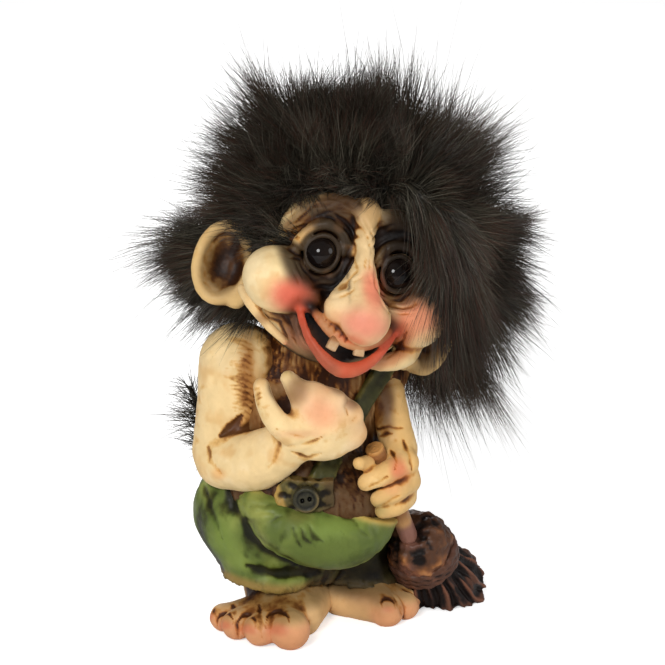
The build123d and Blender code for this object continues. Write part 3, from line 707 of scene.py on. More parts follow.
left_arm_forms = [
    rope(
        BODY,
        [(17.5, -3, 77), (19.8, -9, 69), (20.6, -14.5, 61.5), (21.2, -18.0, 55)],
        (8.4, 6.2, 5.2, 5.4),
    ),
    ball(BODY, (19.0, -21.5, 48.5), (6.3, 6.2, 9.2)),
]
grip_forms = [
    rope(BODY, [(20.8, -24.2, 53.0), (13.5, -27.8, 52.0), (7.6, -27.0, 49.6)], (3.9, 3.3, 2.5)),
    rope(BODY, [(21.6, -23.8, 47.2), (16.0, -27.8, 46.0), (11.2, -27.5, 44.2)], (3.8, 3.2, 2.4)),
    rope(BODY, [(21.4, -22.4, 41.8), (16.8, -26.4, 41.0), (13.0, -26.3, 40.0)], (3.5, 3.0, 2.3)),
    rope(BODY, [(9.0, -24.0, 54.2), (5.6, -26.6, 55.4)], (2.3, 1.9)),
]
left_arm_clay = Clay(left_arm_forms + grip_forms, 0.45)
left_arm_clay.add(*left_arm_forms, blend=2.5).add(*grip_forms, blend=1.5)

# Trousers: a wide seat, a pouch that sags in front, two legs and their rolled hems
HEM_TUBE = 2.2
trouser_forms = [
    ball(BODY, (-3.5, 3, 34), (31.0, 21.5, 22)),
    ball(BODY, (-2, -9, 37), (23, 16, 13)),
    rope(BODY, [(-16.5, -1, 30), (-14, -2, 15)], (14.2, 12.0)),
    rope(BODY, [(13, 1, 27), (15.5, 0, 11)], (12.0, 10.4)),
    ball(BODY, (1, 1, 18), (9, 11, 11)),
]
pouch_form = rope(
    BODY,
    [(-21, -14, 42), (-15, -20, 36.5), (-6, -22.5, 32.5), (3, -22.5, 31.5), (11, -20.5, 33.0), (17, -16, 35)],
    (5.0, 7.5, 8.6, 8.6, 7.0, 4.6),
)
hem_forms = [
    ring(BODY, (-14, -2, 16.2), (0, 0, 0), 11.6, HEM_TUBE, 1.2),
    ring(BODY, (15.5, 0, 9.2), (0, 0, 0), 9.6, HEM_TUBE, 1.2),
]
WAIST_PLANES = (BODY.child((-14, 0, 47.2), (0, 2, 0)), BODY.child((-14, 0, 46.8), (0, 21, 0)))
HEM_PLANE = BODY.child((-14, 0, 14.0), (0, 9, 0))


def under_waist(x, y, z):
    return np.maximum(*[plane.into(x, y, z)[2] for plane in WAIST_PLANES])


def over_hems(x, y, z):
    return -HEM_PLANE.into(x, y, z)[2]


trousers_clay = Clay(trouser_forms + hem_forms + [pouch_form], 0.6)
trousers_clay.add(*trouser_forms, blend=4).add(pouch_form, blend=2.2).add(*hem_forms, blend=1.4)
trousers_clay.keep(under_waist).keep(over_hems)

# Feet


def over_floor(x, y, z):
    return BODY.origin[2] - z + 0 * x + 0 * y


def foot_clay(ankle, toes, extra, step=0.45):
    forms = [rope(BODY, *ankle), extra]
    root = ankle[0][-1]
    for spot, size in toes:
        forms.append(rope(BODY, [root, spot], (ankle[1][-1] * 0.75, size * 0.95)))
    tips = [ball(BODY, spot, (size * 1.05, size * 1.05, size)) for spot, size in toes]
    clay = Clay(forms + tips, step).add(*forms, blend=2.4).add(*tips, blend=1.4)
    return clay.keep(over_floor)


RIGHT_TOES = [
    ((-14.2, -22.5, 5.2), 5.5), ((-21.6, -18.0, 4.6), 4.5),
    ((-26.4, -11.0, 4.2), 4.2), ((-28.2, -4.0, 4.0), 3.9),
]
LEFT_TOES = [((18.5, -16.5, 4.0), 4.3), ((25.2, -13.5, 3.6), 3.8), ((29.2, -7.0, 3.4), 3.5)]
right_foot_clay = foot_clay(
    ([(-12.5, 0, 15), (-10.5, 3, 7), (-12, -8, 6)], (8.4, 8.4, 8.8)), RIGHT_TOES,
    rope(BODY, [(-8, -12, 5.5), (1, -1, 5.0)], (7.4, 6.0)),
)
left_foot_clay = foot_clay(
    ([(15.5, 0, 13), (15.5, 3, 6.5), (17, -6, 5.0)], (7.4, 7.4, 7.2)), LEFT_TOES,
    rope(BODY, [(8, -3, 5.0), (17, -13, 4.6)], (5.6, 5.0)),
)

# Head
JAWS = [
    ([(-27, -8, -10.5), (-25, -12, -13.6), (-19.4, -16.2, -18.0), (-14, -20.0, -21.4)], (1.4, 1.3, 1.3, 1.0)),
    ([(9, -25.5, -20.8), (15.5, -22.8, -19.5), (21.4, -19, -16.6), (26, -10, -12)], (1.8, 2.6, 2.8, 2.2)),
]
SMILE = [
    (-14.2, -24.6, -9.4), (-12.9, -26.8, -13.2), (-9.4, -29.8, -18.6), (-3.8, -32, -23.2), (1.2, -33, -24.4),
    (6.4, -32, -21.8), (10.6, -29.8, -16.8), (13.4, -26.8, -12.4), (14.6, -24.4, -9.2),
]
SMILE_SIZES = (0.7, 1.2, 1.6, 2.0, 2.2, 1.9, 1.5, 1.1, 0.6)
GUM = [
    (-11.8, -25.6, -9.4), (-9.0, -28.4, -12.2), (-5, -30.6, -14.9), (1, -32.2, -16.8),
    (6, -32, -15.6), (10, -29.8, -12.8), (12.6, -27, -9.8),
]
GUM_SIZES = (1.0, 1.6, 1.9, 1.9, 1.8, 1.5, 1.1)
MOUTH = [
    (-11.6, -27, -12.0), (-8.0, -29, -16.8), (-2.4, -30, -20.4),
    (3.0, -30, -20.0), (7.8, -29, -16.6), (11.4, -27, -12.2),
]
MOUTH_SIZES = (0.9, 2.2, 2.9, 2.8, 2.2, 0.9)
BROW = [
    (-22.0, -14.5, 7.5), (-20.2, -17, 12.4), (-16.5, -19.4, 16.6), (-10, -21.4, 19.4), (-4.2, -22.6, 19.2),
]
BROW_SIZES = (1.2, 2.4, 2.9, 3.0, 2.6)


def mirrored(points):
    return [(-x, y, z) for x, y, z in points]


def lid(side, width, height, depth, first, last, count=11):
    """Points of an oval arc round an eye, from one angle to another, in degrees; 0 is the outer corner."""
    arc = []
    for angle in np.radians(np.linspace(first, last, count)):
        spot = EYE_SPOT * (side, 1, 1) + (side * width * cos(angle), 0, height * sin(angle))
        arc.append((spot[0], depth + 1.5 * max(cos(angle), 0), spot[2]))
    return arc


head_forms = [
    ball(HEAD, (0, 4, 6), (26.5, 26, 29)),
    ball(HEAD, (0, -6, -4), (23.5, 18.5, 21)),
    ball(HEAD, (0, -17.5, -15.0), (12.5, 9.5, 8.0)),
    ball(HEAD, (-9.5, -13.0, 14.0), (11.5, 9.4, 8.0)),
    ball(HEAD, (9.5, -13.0, 14.0), (11.5, 9.4, 8.0)),
]
cheek_forms = [
    ball(HEAD, (-20.4, -18.5, -5.0), (10.0, 9.6, 9.2), (0, 12, 0)),
    rope(HEAD, [(-17, -21, -6), (-12.5, -23, -8.2)], (8.0, 4.6)),
    ball(HEAD, (20.2, -18.2, -6.0), (9.6, 9.2, 8.6), (0, -12, 0)),
    rope(HEAD, [(17, -20.5, -6.5), (13, -23, -8)], (7.4, 4.8)),
]
nose_forms = [
    rope(
        HEAD,
        [
            (-1.6, -22.6, 21), (-1.0, -24.2, 15), (-0.4, -26.8, 8),
            (0.2, -29.6, 2), (1.2, -32, -4), (2.4, -34.2, -9),
        ],
        (2.6, 2.4, 2.6, 3.6, 4.8, 5.8),
    ),
    rope(HEAD, [(0.2, -27.6, 1.5), (-2.2, -29.2, -3.5), (-3.7, -31.0, -8.0)], (2.6, 3.8, 4.9)),
    ball(HEAD, (6.8, -31.4, -8.8), (3.5, 4.2, 4.2)),
    ball(HEAD, (3.0, -35.2, -10.2), (5.7, 5.8, 6.4)),
]
head_clay = Clay(head_forms + nose_forms + cheek_forms, 0.48, margin=5)
head_clay.add(*head_forms, blend=5)
for points, sizes in JAWS:
    head_clay.add(rope(HEAD, points, sizes), blend=3)
for line in (BROW, mirrored(BROW)):
    head_clay.add(rope(HEAD, line, BROW_SIZES), blend=3)
head_clay.add(*cheek_forms, blend=2.4)
for side in (-1, 1):
    head_clay.cut(ball(HEAD, (side * 10.6, -26.8, 4.0), (8.2, 4.8, 7.0)), blend=3)
    head_clay.add(rope(HEAD, lid(side, 10.2, 9.6, -22.0, 228, 345), 1.3), blend=2.0)
    head_clay.add(rope(HEAD, lid(side, 7.4, 7.4, -22.6, 150, 375), 1.1), blend=1.4)
    head_clay.add(rope(HEAD, lid(side, 6.6, 8.0, -23.4, 5, 165), 1.5), blend=1.6)
for side in (-1, 1):
    head_clay.cut(ball(HEAD, EYE_SPOT * (side, 1, 1), EYE_RADIUS), blend=0.4)
    head_clay.add(rope(HEAD, lid(side, 4.4, 5.0, -24.2, 0, 360, 17), 0.75), blend=0.7)
head_clay.add(*nose_forms, blend=3)
head_clay.add(rope(HEAD, SMILE, SMILE_SIZES), blend=1.4).add(rope(HEAD, GUM, GUM_SIZES), blend=1.4)
for back in (0, 3, 6):
    line = [(x, y + back, z) for x, y, z in MOUTH]
    head_clay.cut(rope(HEAD, line, [size * (1 + 0.10 * back) for size in MOUTH_SIZES]), blend=0.6)

# Ears
EAR_SPOTS = {-1: (-31.8, 2.2, -4.8), 1: (30.8, -1.0, -10.4)}
EAR_SIZES = {-1: 1.0, 1: 0.9}
EAR_TURN = 22
EAR_PLACES = {side: HEAD.child(spot, (0, 0, side * EAR_TURN)) for side, spot in EAR_SPOTS.items()}


def ear_clay(side):
    """An ear with a rolled rim round a deep bowl; side is -1 for the figure's right ear."""
    place = EAR_PLACES[side]
    size = EAR_SIZES[side]
    rim = []
    for step in range(13):
        angle = radians(40 + 23 * step)
        rim.append((size * side * -7.0 * cos(angle), -2.4 - 0.8 * sin(angle), size * 10.6 * sin(angle)))
    forms = [
        ball(place, (0, 1.2, 0), (8.6 * size, 4.4, 12.4 * size)),
        ball(place, (side * -6 * size, 0, -4 * size), (4.5, 4.5, 8 * size)),
    ]
    clay = Clay(forms, 0.45).add(*forms, blend=2)
    clay.cut(ball(place, (side * -0.9, -4.6, 0.2), (6.0 * size, 5.6, 9.2 * size)), blend=1.2)
    clay.add(rope(place, rim, 1.7 * size), blend=1.0)
    return clay


ear_clays = {side: ear_clay(side) for side in (-1, 1)}

# Broom
HANDLE_START = (11.3, -23.3, 58.5)
HANDLE_TURN = (180 - 27.5, 31.0)
BUNDLE_START = (27.5, -13.0, 27.5)
BUNDLE_TURN = (180 - 37.0, 45.0)
handle = BODY.child(HANDLE_START, (0, *HANDLE_TURN))
bundle = BODY.child(BUNDLE_START, (0, *BUNDLE_TURN))
BUNDLE_PROFILE = [(0.5, 5.8), (3, 8.6), (6, 9.6), (11, 9.6), (17, 9.4), (22, 11.6), (27, 13.8), (32, 15.0)]

handle_clay = Clay([rope(handle, [(0, 0, 0), (0, 0, 36)], (2.7, 2.7))], 0.3)
handle_clay.add(rope(handle, [(0, 0, 2.6), (0, 0, 36)], (2.65, 2.65)), blend=0.5)
handle_clay.add(disc(handle, (0, 0, 1.4), 2.7, 1.4), blend=0.6)
for groove_radius in (0.7, 1.6):
    handle_clay.cut(ring(handle, (0, 0, 0), (0, 0, 0), groove_radius, 0.25), blend=0.2)


def bundle_outline(low, high):
    """Distances to the round outline of the bundle between two heights."""
    heights, radii = np.array(BUNDLE_PROFILE).T

    def distance(x, y, z):
        x, y, z = bundle.into(x, y, z)
        out = np.sqrt(x * x + y * y) - np.interp(z, heights, radii)
        return np.maximum(np.maximum(out, low - z), z - high)

    reach = 34.0
    return bundle.origin - reach, bundle.origin + reach, distance


broom_head_clay = Clay([ball(bundle, (0, 0, 7), (11, 11, 8))], 0.45).add(bundle_outline(0.5, 11.5), blend=0.8)
CORD_TURNS = 3
binding_clay = Clay([ball(bundle, (0, 0, 14), (12, 12, 7))], 0.4)
for turn_of_cord in range(CORD_TURNS):
    cord_spot = (0, 0, 11.2 + 2.3 * turn_of_cord)
    binding_clay.add(ring(bundle, cord_spot, (3 * turn_of_cord - 3, 0, 0), 9.6, 1.25), blend=0.3)
twigs_clay = Clay([ball(bundle, (0, 0, 25), (16, 16, 12))], 0.45).add(bundle_outline(15.5, 33), blend=0.8)
twigs_clay.keep(over_floor)

# Tail
TAIL = [(-4, 18, 30), (-6, 29, 26), (-10, 34.5, 27.5), (-15, 35.5, 34), (-19, 34, 42), (-21.5, 32.5, 46)]
TAIL_SIZES = (3.3, 3.2, 3.0, 2.7, 2.3, 2.1)
tail_clay = Clay([rope(BODY, TAIL, 3.4)], 0.5).add(rope(BODY, TAIL, TAIL_SIZES), blend=0.5)

# The crowd: all castings on one coarse grid, to find where they press close together, for the painted shade
# there
crowd = Clay(trunk_forms + head_forms + trouser_forms + [bundle_outline(0, 33)], 1.1, margin=12)
crowd.add(*trunk_forms, *right_arm_forms, *right_hand_forms, *left_arm_forms, *grip_forms, blend=0.5)
crowd.add(*trouser_forms, pouch_form, *hem_forms, *head_forms, *cheek_forms, *nose_forms, blend=0.5)
crowd.add(bundle_outline(0.5, 33), rope(HEAD, SMILE, SMILE_SIZES), blend=0.5)
crowd.add(*[rope(HEAD, line, BROW_SIZES) for line in (BROW, mirrored(BROW))], blend=0.5)
for ear_side, spot in EAR_SPOTS.items():
    crowd.add(ball(HEAD, spot, (9, 5, 12.5), (0, 0, ear_side * EAR_TURN)), blend=0.5)
crowd.nearby = crowd.fullness(5.0)

# Carving and painting

CREAM = (240, 212, 158)
WARM = (222, 176, 112)
ROSE = (220, 104, 82)
LIP = (192, 80, 54)
SHADE = (70, 56, 40)
UMBER = (112, 70, 42)
GREEN = (88, 102, 48)
LIME = (146, 150, 82)
TWIG = (74, 48, 37)
RUST = (130, 84, 48)


def socket_folds(head, side):
    """Ring after ring of folds above and below an eye, its painted lids and painted shade in the dark gap
    round the glass; the right eye's upper lid is painted lit, the left eye's folds and upper lid are painted
    in shade.
    """
    x, y, z = head.own.T
    aside = side * (x - side * EYE_SPOT[0])
    up = z - EYE_SPOT[2]
    # Fold paint, darker round the left eye as painted shade
    skin = (150, 104, 64) if side < 0 else UMBER
    out = np.hypot(aside / 0.92, up)
    angle = np.arctan2(up, aside)
    rings = np.cos((out + 0.9 * noise.at(head.own, 3.0) - 6.4) * tau / 2.0)
    above = soft(np.sin(angle), 0.15, 0.6) * soft(out, 8.4, 9.4) * (1 - soft(out, 14, 17))
    below = soft(-np.sin(angle) - 0.6 * np.cos(angle), -0.3, 0.4)
    below = below * soft(out, 5.6, 6.4) * (1 - soft(out, 11, 13))
    where = np.maximum(above, below) * soft(-y, 8, 16) * soft(noise.at(head.own, 3.6), -0.7, 0.1)
    head.push(0.26 * rings * where)
    head.tint(0.6 * soft(rings, 0.4, 0.95) * where, skin)
    head.wash_and_shade += 0.25 * soft(-rings, 0.1, 0.9) * where
    # The upper lid: a painted highlight on the right eye, painted shade on the left
    lid_light_and_shade = (202, 156, 94) if side < 0 else UMBER
    head.tint(0.8 * head.stroke(lid(side, 6.6, 8.0, -24.4, -10, 60), 1.2), lid_light_and_shade)
    # A dark ring and wash in the gap round the glass: painted shade
    head.tint(0.9 * head.stroke(lid(side, 4.4, 5.0, -24.6, 0, 360), 1.0), (44, 31, 21))
    head.wash_and_shade += 0.5 * head.stroke(lid(side, 5.7, 6.4, -23.6, 0, 360), 0.6)


def brow_and_sockets(head):
    # Among these dabs: painted shade in the right socket, under the right eye and beside the top of the nose,
    # and deep painted shade round and under the left eye
    head.dabs(
        (0.90, (322, 220), (40, 26), -28, (132, 108, 76)),
        (1.00, (338, 264), (25, 34), -18, SHADE),
        (0.95, (318, 286), (26, 13), 12, SHADE),
        (0.90, (348, 232), (13, 26), -10, (84, 68, 48)),
        (0.85, (342, 202), (26, 11), -12, (122, 74, 46)),
        (0.90, (298, 240), (15, 13), -40, (226, 186, 122)),
        (0.90, (366, 196), (12, 16), 0, (166, 124, 74)),
        (1.00, (412, 238), (36, 42), 0, (62, 46, 32)),
        (0.90, (404, 285), (30, 20), 0, (74, 53, 40)),
        (0.60, (384, 268), (6, 16), 12, (150, 96, 58)),
    )
    for side in (-1, 1):
        socket_folds(head, side)
    head.scratches(
        0.5, 2.0, 0.5,
        [(278, 236), (290, 244), (300, 250)], [(282, 246), (292, 252), (300, 256)],
        [(286, 231), (297, 240), (303, 246)], [(280, 228), (290, 234), (299, 238)], [(290, 258), (300, 260)],
    )
    head.scratches(
        0.4, 1.8, 0.5,
        [(322, 208), (338, 201), (352, 202), (360, 209)], [(318, 216), (336, 209), (352, 211)],
        [(330, 200), (344, 195), (358, 198)], [(298, 219), (312, 207), (326, 199)],
        [(292, 228), (300, 218), (310, 210)], [(346, 190), (358, 192), (362, 202)],
        [(334, 206), (346, 204), (354, 208)],
    )
    head.scratches(0.4, 2.0, 0.4, [(388, 246), (384, 262), (386, 280)])


def dark_round_the_eyes(head, nose):
    """Dark paint and painted shade round the eyes, deepest round the left eye, but for the bare fold at the
    right eye's outer corner and the nose.
    """
    x, y, z = head.own.T
    # Among these dabs: painted shade beside and under the right eye, and deep painted shade round the left
    # eye
    head.dabs(
        (0.70, (345, 262), (17, 38), -16, (58, 46, 34)),
        (0.70, (318, 288), (28, 12), 12, (44, 35, 25)),
        (0.60, (338, 230), (22, 12), -8, (84, 68, 48)),
        (0.50, (301, 264), (8, 14), 0, (80, 60, 42)),
        (1.00, (340, 204), (34, 14), -10, (78, 56, 35)),
        (0.75, (308, 218), (18, 14), -38, (126, 96, 62)),
        (0.85, (404, 246), (32, 46), 0, (30, 23, 16)),
    )
    front = soft(-y, 8, 16)
    out = np.hypot(x + EYE_SPOT[0], z - EYE_SPOT[2])
    angle = np.degrees(np.arctan2(z - EYE_SPOT[2], -x - EYE_SPOT[0]))
    outer_fold = soft(out, 6.4, 7.4) * soft(angle, 0, 14) * (1 - soft(angle, 48, 66))
    brushed = soft(noise.at(head.own, 2.2, (2, 2, 1)), 0.1, 0.6)
    # Painted shade round the right eye's socket
    head.tint(0.80 * (1 - soft(out, 10.5, 14.0)) * (1 - outer_fold) * front, (48, 37, 25))
    head.tint(0.5 * (1 - soft(out, 11, 14)) * brushed * front, (104, 72, 44))
    # More painted shade in the right socket and, deeper, round the left eye
    head.wash_and_shade += 0.20 * head.dab((336, 262), (26, 34), -18) * (1 - nose)
    head.wash_and_shade += 0.45 * head.dab((406, 246), (34, 46)) * (1 - nose)


def nose_and_cheeks(head, nose):
    head.tint(0.95 * nose, (232, 198, 146))
    head.tint(0.7 * nose * soft(head.own[:, 2], 9, 20), (178, 140, 90))
    # The first dab is a painted highlight along the bridge of the nose
    head.dabs(
        (0.60, (362, 262), (12, 24), 12, (236, 204, 152)),
        (0.95, (292, 296), (23, 17), 8, ROSE),
        (0.60, (306, 302), (12, 7), 10, (236, 112, 88)),
        (0.75, (420, 318), (26, 20), -20, (226, 130, 100)),
        (0.35, (252, 272), (16, 26), 10, (246, 228, 192)),
        (0.85, (374, 290), (11, 22), -10, (236, 132, 104)),
        (0.85, (364, 324), (26, 17), 10, (232, 138, 116)),
        (0.60, (340, 303), (11, 11), 30, (238, 206, 158)),
        (0.55, (334, 318), (8, 8), 30, (230, 172, 124)),
    )


def mouth_and_jaw(head):
    x, y, z = head.own.T
    lips = soft(-y, 20, 24)
    head.tint(1.5 * head.stroke(SMILE, 3.0) * lips, LIP)
    head.tint(1.3 * head.stroke(GUM, 2.2), (160, 88, 50))
    head.dabs((0.5, (352, 340), (16, 5), 14, (206, 86, 60)))
    gum_creases = [
        [(316 + 5.6 * step, 320 + 4.6 * step), (320 + 5.6 * step, 314 + 4.6 * step)] for step in range(6)
    ]
    head.scratches(0.4, 1.4, 0.6, *gum_creases)
    inside = head.stroke([(a, c) for a, b, c in MOUTH], 3.6, plane=(0, 2)) * soft(y, -29.6, -27.6)
    head.tint(1.6 * inside, (20, 11, 8))
    head.dabs(
        (0.95, (300, 340), (15, 27), -22, (164, 108, 78)),
        (0.90, (322, 362), (20, 12), 40, (132, 88, 64)),
        (0.60, (294, 326), (6, 14), -25, (70, 50, 38)),
        (0.80, (402, 342), (10, 16), 30, (168, 98, 62)),
        (0.80, (388, 360), (26, 9), -25, (190, 124, 80)),
    )
    head.tint(1.5 * head.stroke(SMILE, 2.0) * lips, LIP)
    head.scratches(
        0.5, 2.2, 0.5,
        [(288, 318), (298, 340), (314, 362)], [(300, 316), (305, 338), (320, 358)], [(280, 322), (288, 342)],
        [(408, 330), (400, 346), (386, 360)], [(256, 306), (268, 318), (282, 322)],
        [(284, 316), (292, 330), (296, 346)], [(292, 338), (300, 350), (304, 358)],
        [(306, 346), (314, 356), (326, 366)],
    )
    # Takes back wash and painted shade at the mouth's right corner
    head.wash_and_shade -= 0.9 * head.dab((308, 346), (16, 26), -26)
    head.tint(0.85 * head.stroke(JAWS[0][0], 1.5), (208, 166, 112))
    head.dabs((0.6, (288, 348), (5, 7), -30, (206, 120, 84)), (0.5, (262, 318), (8, 6), 40, (128, 88, 54)))


def carve_head():
    head = Casting("head", head_clay, CREAM, HEAD)
    head.mottle(0.5, 5, 0.0, 0.6, WARM)
    brow_and_sockets(head)
    nose = 1 - soft(np.min([form[2](*head.points.T) for form in nose_forms], 0), 0.4, 1.3)
    dark_round_the_eyes(head, nose)
    nose_and_cheeks(head, nose)
    mouth_and_jaw(head)
    x, y, z = head.own.T
    scalp = np.maximum(soft(y, -11, -5), soft(z, 22.5, 25))
    scalp *= 1 - sum(np.exp(-((line_gap(head.own, line) / 5) ** 2)) for line, sizes in JAWS)
    head.tint(scalp, (24, 20, 15))
    head.roughen(0.12, 2.2)
    head.antique_and_shade(0.85)
    head.shade(0.8)
    head.finish(skin_paint, "skin")


def carve_ear(name, side):
    ear = Casting(name, ear_clays[side], (222, 186, 126), EAR_PLACES[side])
    x, y, z = ear.own.T
    bowl = np.exp(-(((x + side * 0.6) / 6.2) ** 2 + (z / 9.4) ** 2) ** 2) * soft(-y, -3.0, -0.5)
    # The bowl of the ear is painted dark, as painted shade
    ear.tint(0.9 * bowl, (84, 62, 40))
    ear.wash_and_shade += 0.36 * bowl + 0.14 * noise.rough(ear.own, 2.5)
    ear.push(0.35 * bowl * noise.at(ear.own, 2.2, (1, 1, 3)) + 0.18 * noise.rough(ear.own, 2.0))
    strokes = soft(noise.at(ear.own, 1.0, (4, 4, 1)), 0.0, 0.7)
    ear.wash_and_shade += 0.34 * strokes * soft(noise.at(ear.own, 4.0), -0.4, 0.4) * (1 - bowl)
    ear.mottle(0.5, 4.0, 0.0, 0.6, (206, 158, 96), 1 - bowl)
    ear.antique_and_shade()
    ear.shade(0.5)
    ear.finish(skin_paint, "skin")


def carve_trunk():
    """A chest of combed hair, darker toward the waist."""
    trunk = Casting("trunk", trunk_clay, (140, 102, 60))
    own = trunk.own
    swirl = own + 1.6 * np.stack([noise.at(own + 30 * axis, 7.0) for axis in range(3)], 1)
    hair = noise.rough(swirl, 0.9, (0.7, 0.9, 6.0))
    trunk.push(0.34 * hair + 0.5 * noise.at(own, 5.0))
    trunk.tint(0.6 * soft(hair, 0.15, 0.6), (190, 150, 96))
    trunk.tint(0.7 * (1 - soft(own[:, 2], 54, 70)), (66, 48, 32))
    trunk.wash_and_shade += 0.32 - 0.42 * hair + 0.2 * noise.at(own, 6.0)
    trunk.antique_and_shade(0.8)
    trunk.shade(1.2)
    # The second dab is painted shade under the chin
    trunk.dabs((0.6, (255, 340), (16, 20), 20, (176, 134, 82)), (0.5, (300, 372), (26, 12), 10, WASH_AND_SHADE))
    trunk.finish(skin_paint, "skin")


def carve_right_arm():
    arm = Casting("right_arm", right_arm_clay, (238, 208, 154))
    x, y, z = arm.own.T
    arm.mottle(0.5, 7, 0.0, 0.6, (246, 222, 180))
    arm.tint(0.6 * soft(-noise.rough(arm.own, 6), 0.1, 0.6), (220, 174, 112))
    arm.scratches(1.5, 4.0, 0.65, [(221, 436), (231, 429), (242, 416)])
    arm.scratches(
        0.5, 3.4, 0.20,
        [(276, 428), (280, 442), (276, 458), (266, 470)], [(208, 446), (211, 462), (222, 474)],
        [(262, 409), (272, 404)],
    )
    arm.scratches(
        0.5, 2.2, 0.26,
        [(277, 430), (290, 435), (305, 436)], [(286, 446), (305, 444), (322, 438)],
        [(292, 452), (308, 457), (322, 453)], [(350, 394), (345, 406), (348, 416)], [(364, 411), (352, 422)],
        [(273, 382), (271, 372), (276, 362)], [(290, 364), (293, 374), (288, 384)],
    )
    arm.scratches(
        0.35, 1.4, 0.6,
        [(251, 402), (262, 398)], [(253, 396), (262, 393)],
        [(254, 390), (262, 387)], [(250, 408), (260, 404)],
    )
    for step in range(26):
        spot = np.array((248 - 5 * (step % 2), 336 + 3.2 * step))
        arm.scratches(0.15, 1.1, 0.30, [spot - (14 + 5 * (step % 3), 1 + step % 4), spot, spot + (4, 2)])
    # Among these dabs: painted shade on the inside of the upper arm, in the crook of the elbow, under the
    # elbow, forearm and hand, along the arm's outer edge and in the hollows between the fingers
    arm.dabs(
        (0.65, (320, 414), (20, 15), 30, (234, 154, 116)),
        (0.50, (300, 400), (14, 10), 30, (244, 206, 160)),
        (0.80, (248, 372), (8, 42), 0, (166, 118, 68)),
        (0.45, (248, 380), (9, 44), 0, WASH_AND_SHADE),
        (0.80, (296, 390), (12, 16), 20, (134, 98, 62)),
        (0.85, (276, 392), (6, 16), -25, (84, 60, 38)),
        (0.30, (298, 384), (5, 14), 20, WASH_AND_SHADE),
        (0.90, (287, 370), (7, 8), 30, (210, 180, 122)),
        (0.85, (336, 384), (15, 8), 38, (104, 76, 50)),
        (0.75, (354, 400), (8, 11), 30, (100, 72, 48)),
        (0.45, (330, 378), (20, 6), 30, WASH_AND_SHADE),
        (0.30, (322, 392), (8, 20), 10, (214, 160, 112)),
        (0.25, (338, 428), (22, 8), -30, WASH_AND_SHADE),
        (0.70, (218, 474), (7, 6), 0, (232, 176, 112)),
        (0.55, (261, 378), (6, 11), -8, (204, 158, 100)),
        (0.40, (262, 420), (16, 10), -40, WASH_AND_SHADE),
        (0.25, (240, 488), (50, 6), 0, WASH_AND_SHADE),
        (0.35, (330, 460), (36, 7), -10, WASH_AND_SHADE),
        (0.30, (196, 420), (6, 50), 0, WASH_AND_SHADE),
        (0.25, (300, 434), (24, 5), 0, (206, 120, 86)),
    )
    for spot, size in KNUCKLES:
        near = np.linalg.norm(arm.own - spot, axis=1) / (size * 1.2)
        arm.tint(0.4 * np.exp(-(near**4)), (236, 168, 132))
    # Painted shade on the inside of the arm, next to the trunk
    inner = soft(x, -22, -14) * soft(y, -22, -10) * soft(z, 58, 66)
    arm.wash_and_shade += 0.55 * inner * (1 + 0.6 * noise.rough(arm.own, 1.0, (3, 3, 1)))
    arm.roughen(0.16, 3.0)
    arm.antique_and_shade()
    arm.shade(1.2)
    arm.finish(skin_paint, "skin")


def carve_left_arm():
    arm = Casting("left_arm", left_arm_clay, (224, 182, 118))
    arm.mottle(0.5, 5, 0.0, 0.6, (242, 212, 156))
    arm.scratches(
        0.6, 2.4, 0.5,
        [(374, 430), (390, 427), (403, 428)], [(364, 489), (376, 484), (388, 477)],
        [(378, 507), (388, 502), (400, 495)], [(404, 440), (410, 455), (412, 470)],
        [(390, 450), (396, 460), (394, 470)], [(380, 436), (392, 434)],
    )
    # Among these dabs: painted shade down the upper arm's side next to the trunk, and on the forearm and hand
    arm.dabs(
        (0.80, (399, 470), (9, 13), -20, (224, 126, 90)),
        (0.45, (392, 488), (9, 8), 0, (230, 160, 112)),
        (0.60, (374, 510), (14, 8), 0, (156, 140, 84)),
        (0.40, (366, 474), (9, 7), 0, (240, 206, 146)),
        (0.90, (385, 398), (9, 36), -5, (92, 64, 42)),
        (0.60, (378, 415), (8, 14), 0, WASH_AND_SHADE),
        (0.50, (372, 458), (8, 5), -20, WASH_AND_SHADE),
        (0.35, (404, 500), (7, 20), 0, WASH_AND_SHADE),
    )
    arm.roughen(0.16, 3.0)
    # Painted shade on the upper arm, under the hair
    arm.wash_and_shade += 0.25 * soft(arm.own[:, 2], 60, 68)
    arm.antique_and_shade(1.1)
    arm.shade(1.2)
    arm.finish(skin_paint, "skin")


def paint_nail(foot, spot, width, height, lean):
    """A toenail, its arched edge and its reddened bed, in the photograph's pixels."""
    arch = []
    for angle in np.radians(np.linspace(-20, 200, 10)):
        across, up = width * cos(angle), height * max(sin(angle), -0.4)
        arch.append((spot[0] + across + lean * up, spot[1] - up))
    plate = (spot[0] + 0.3 * lean * height, spot[1] - 0.3 * height)
    bed = (spot[0], spot[1] + height * 0.4)
    foot.dabs(
        (0.90, plate, (width * 0.95, height * 0.95), 0, (190, 140, 90)),
        (0.55, bed, (width * 0.9, height * 0.5), 0, (216, 112, 84)),
    )
    foot.scratches(0.55, 1.9, 0.95, arch[2:8])
    foot.scratches(0.25, 1.3, 0.6, arch)


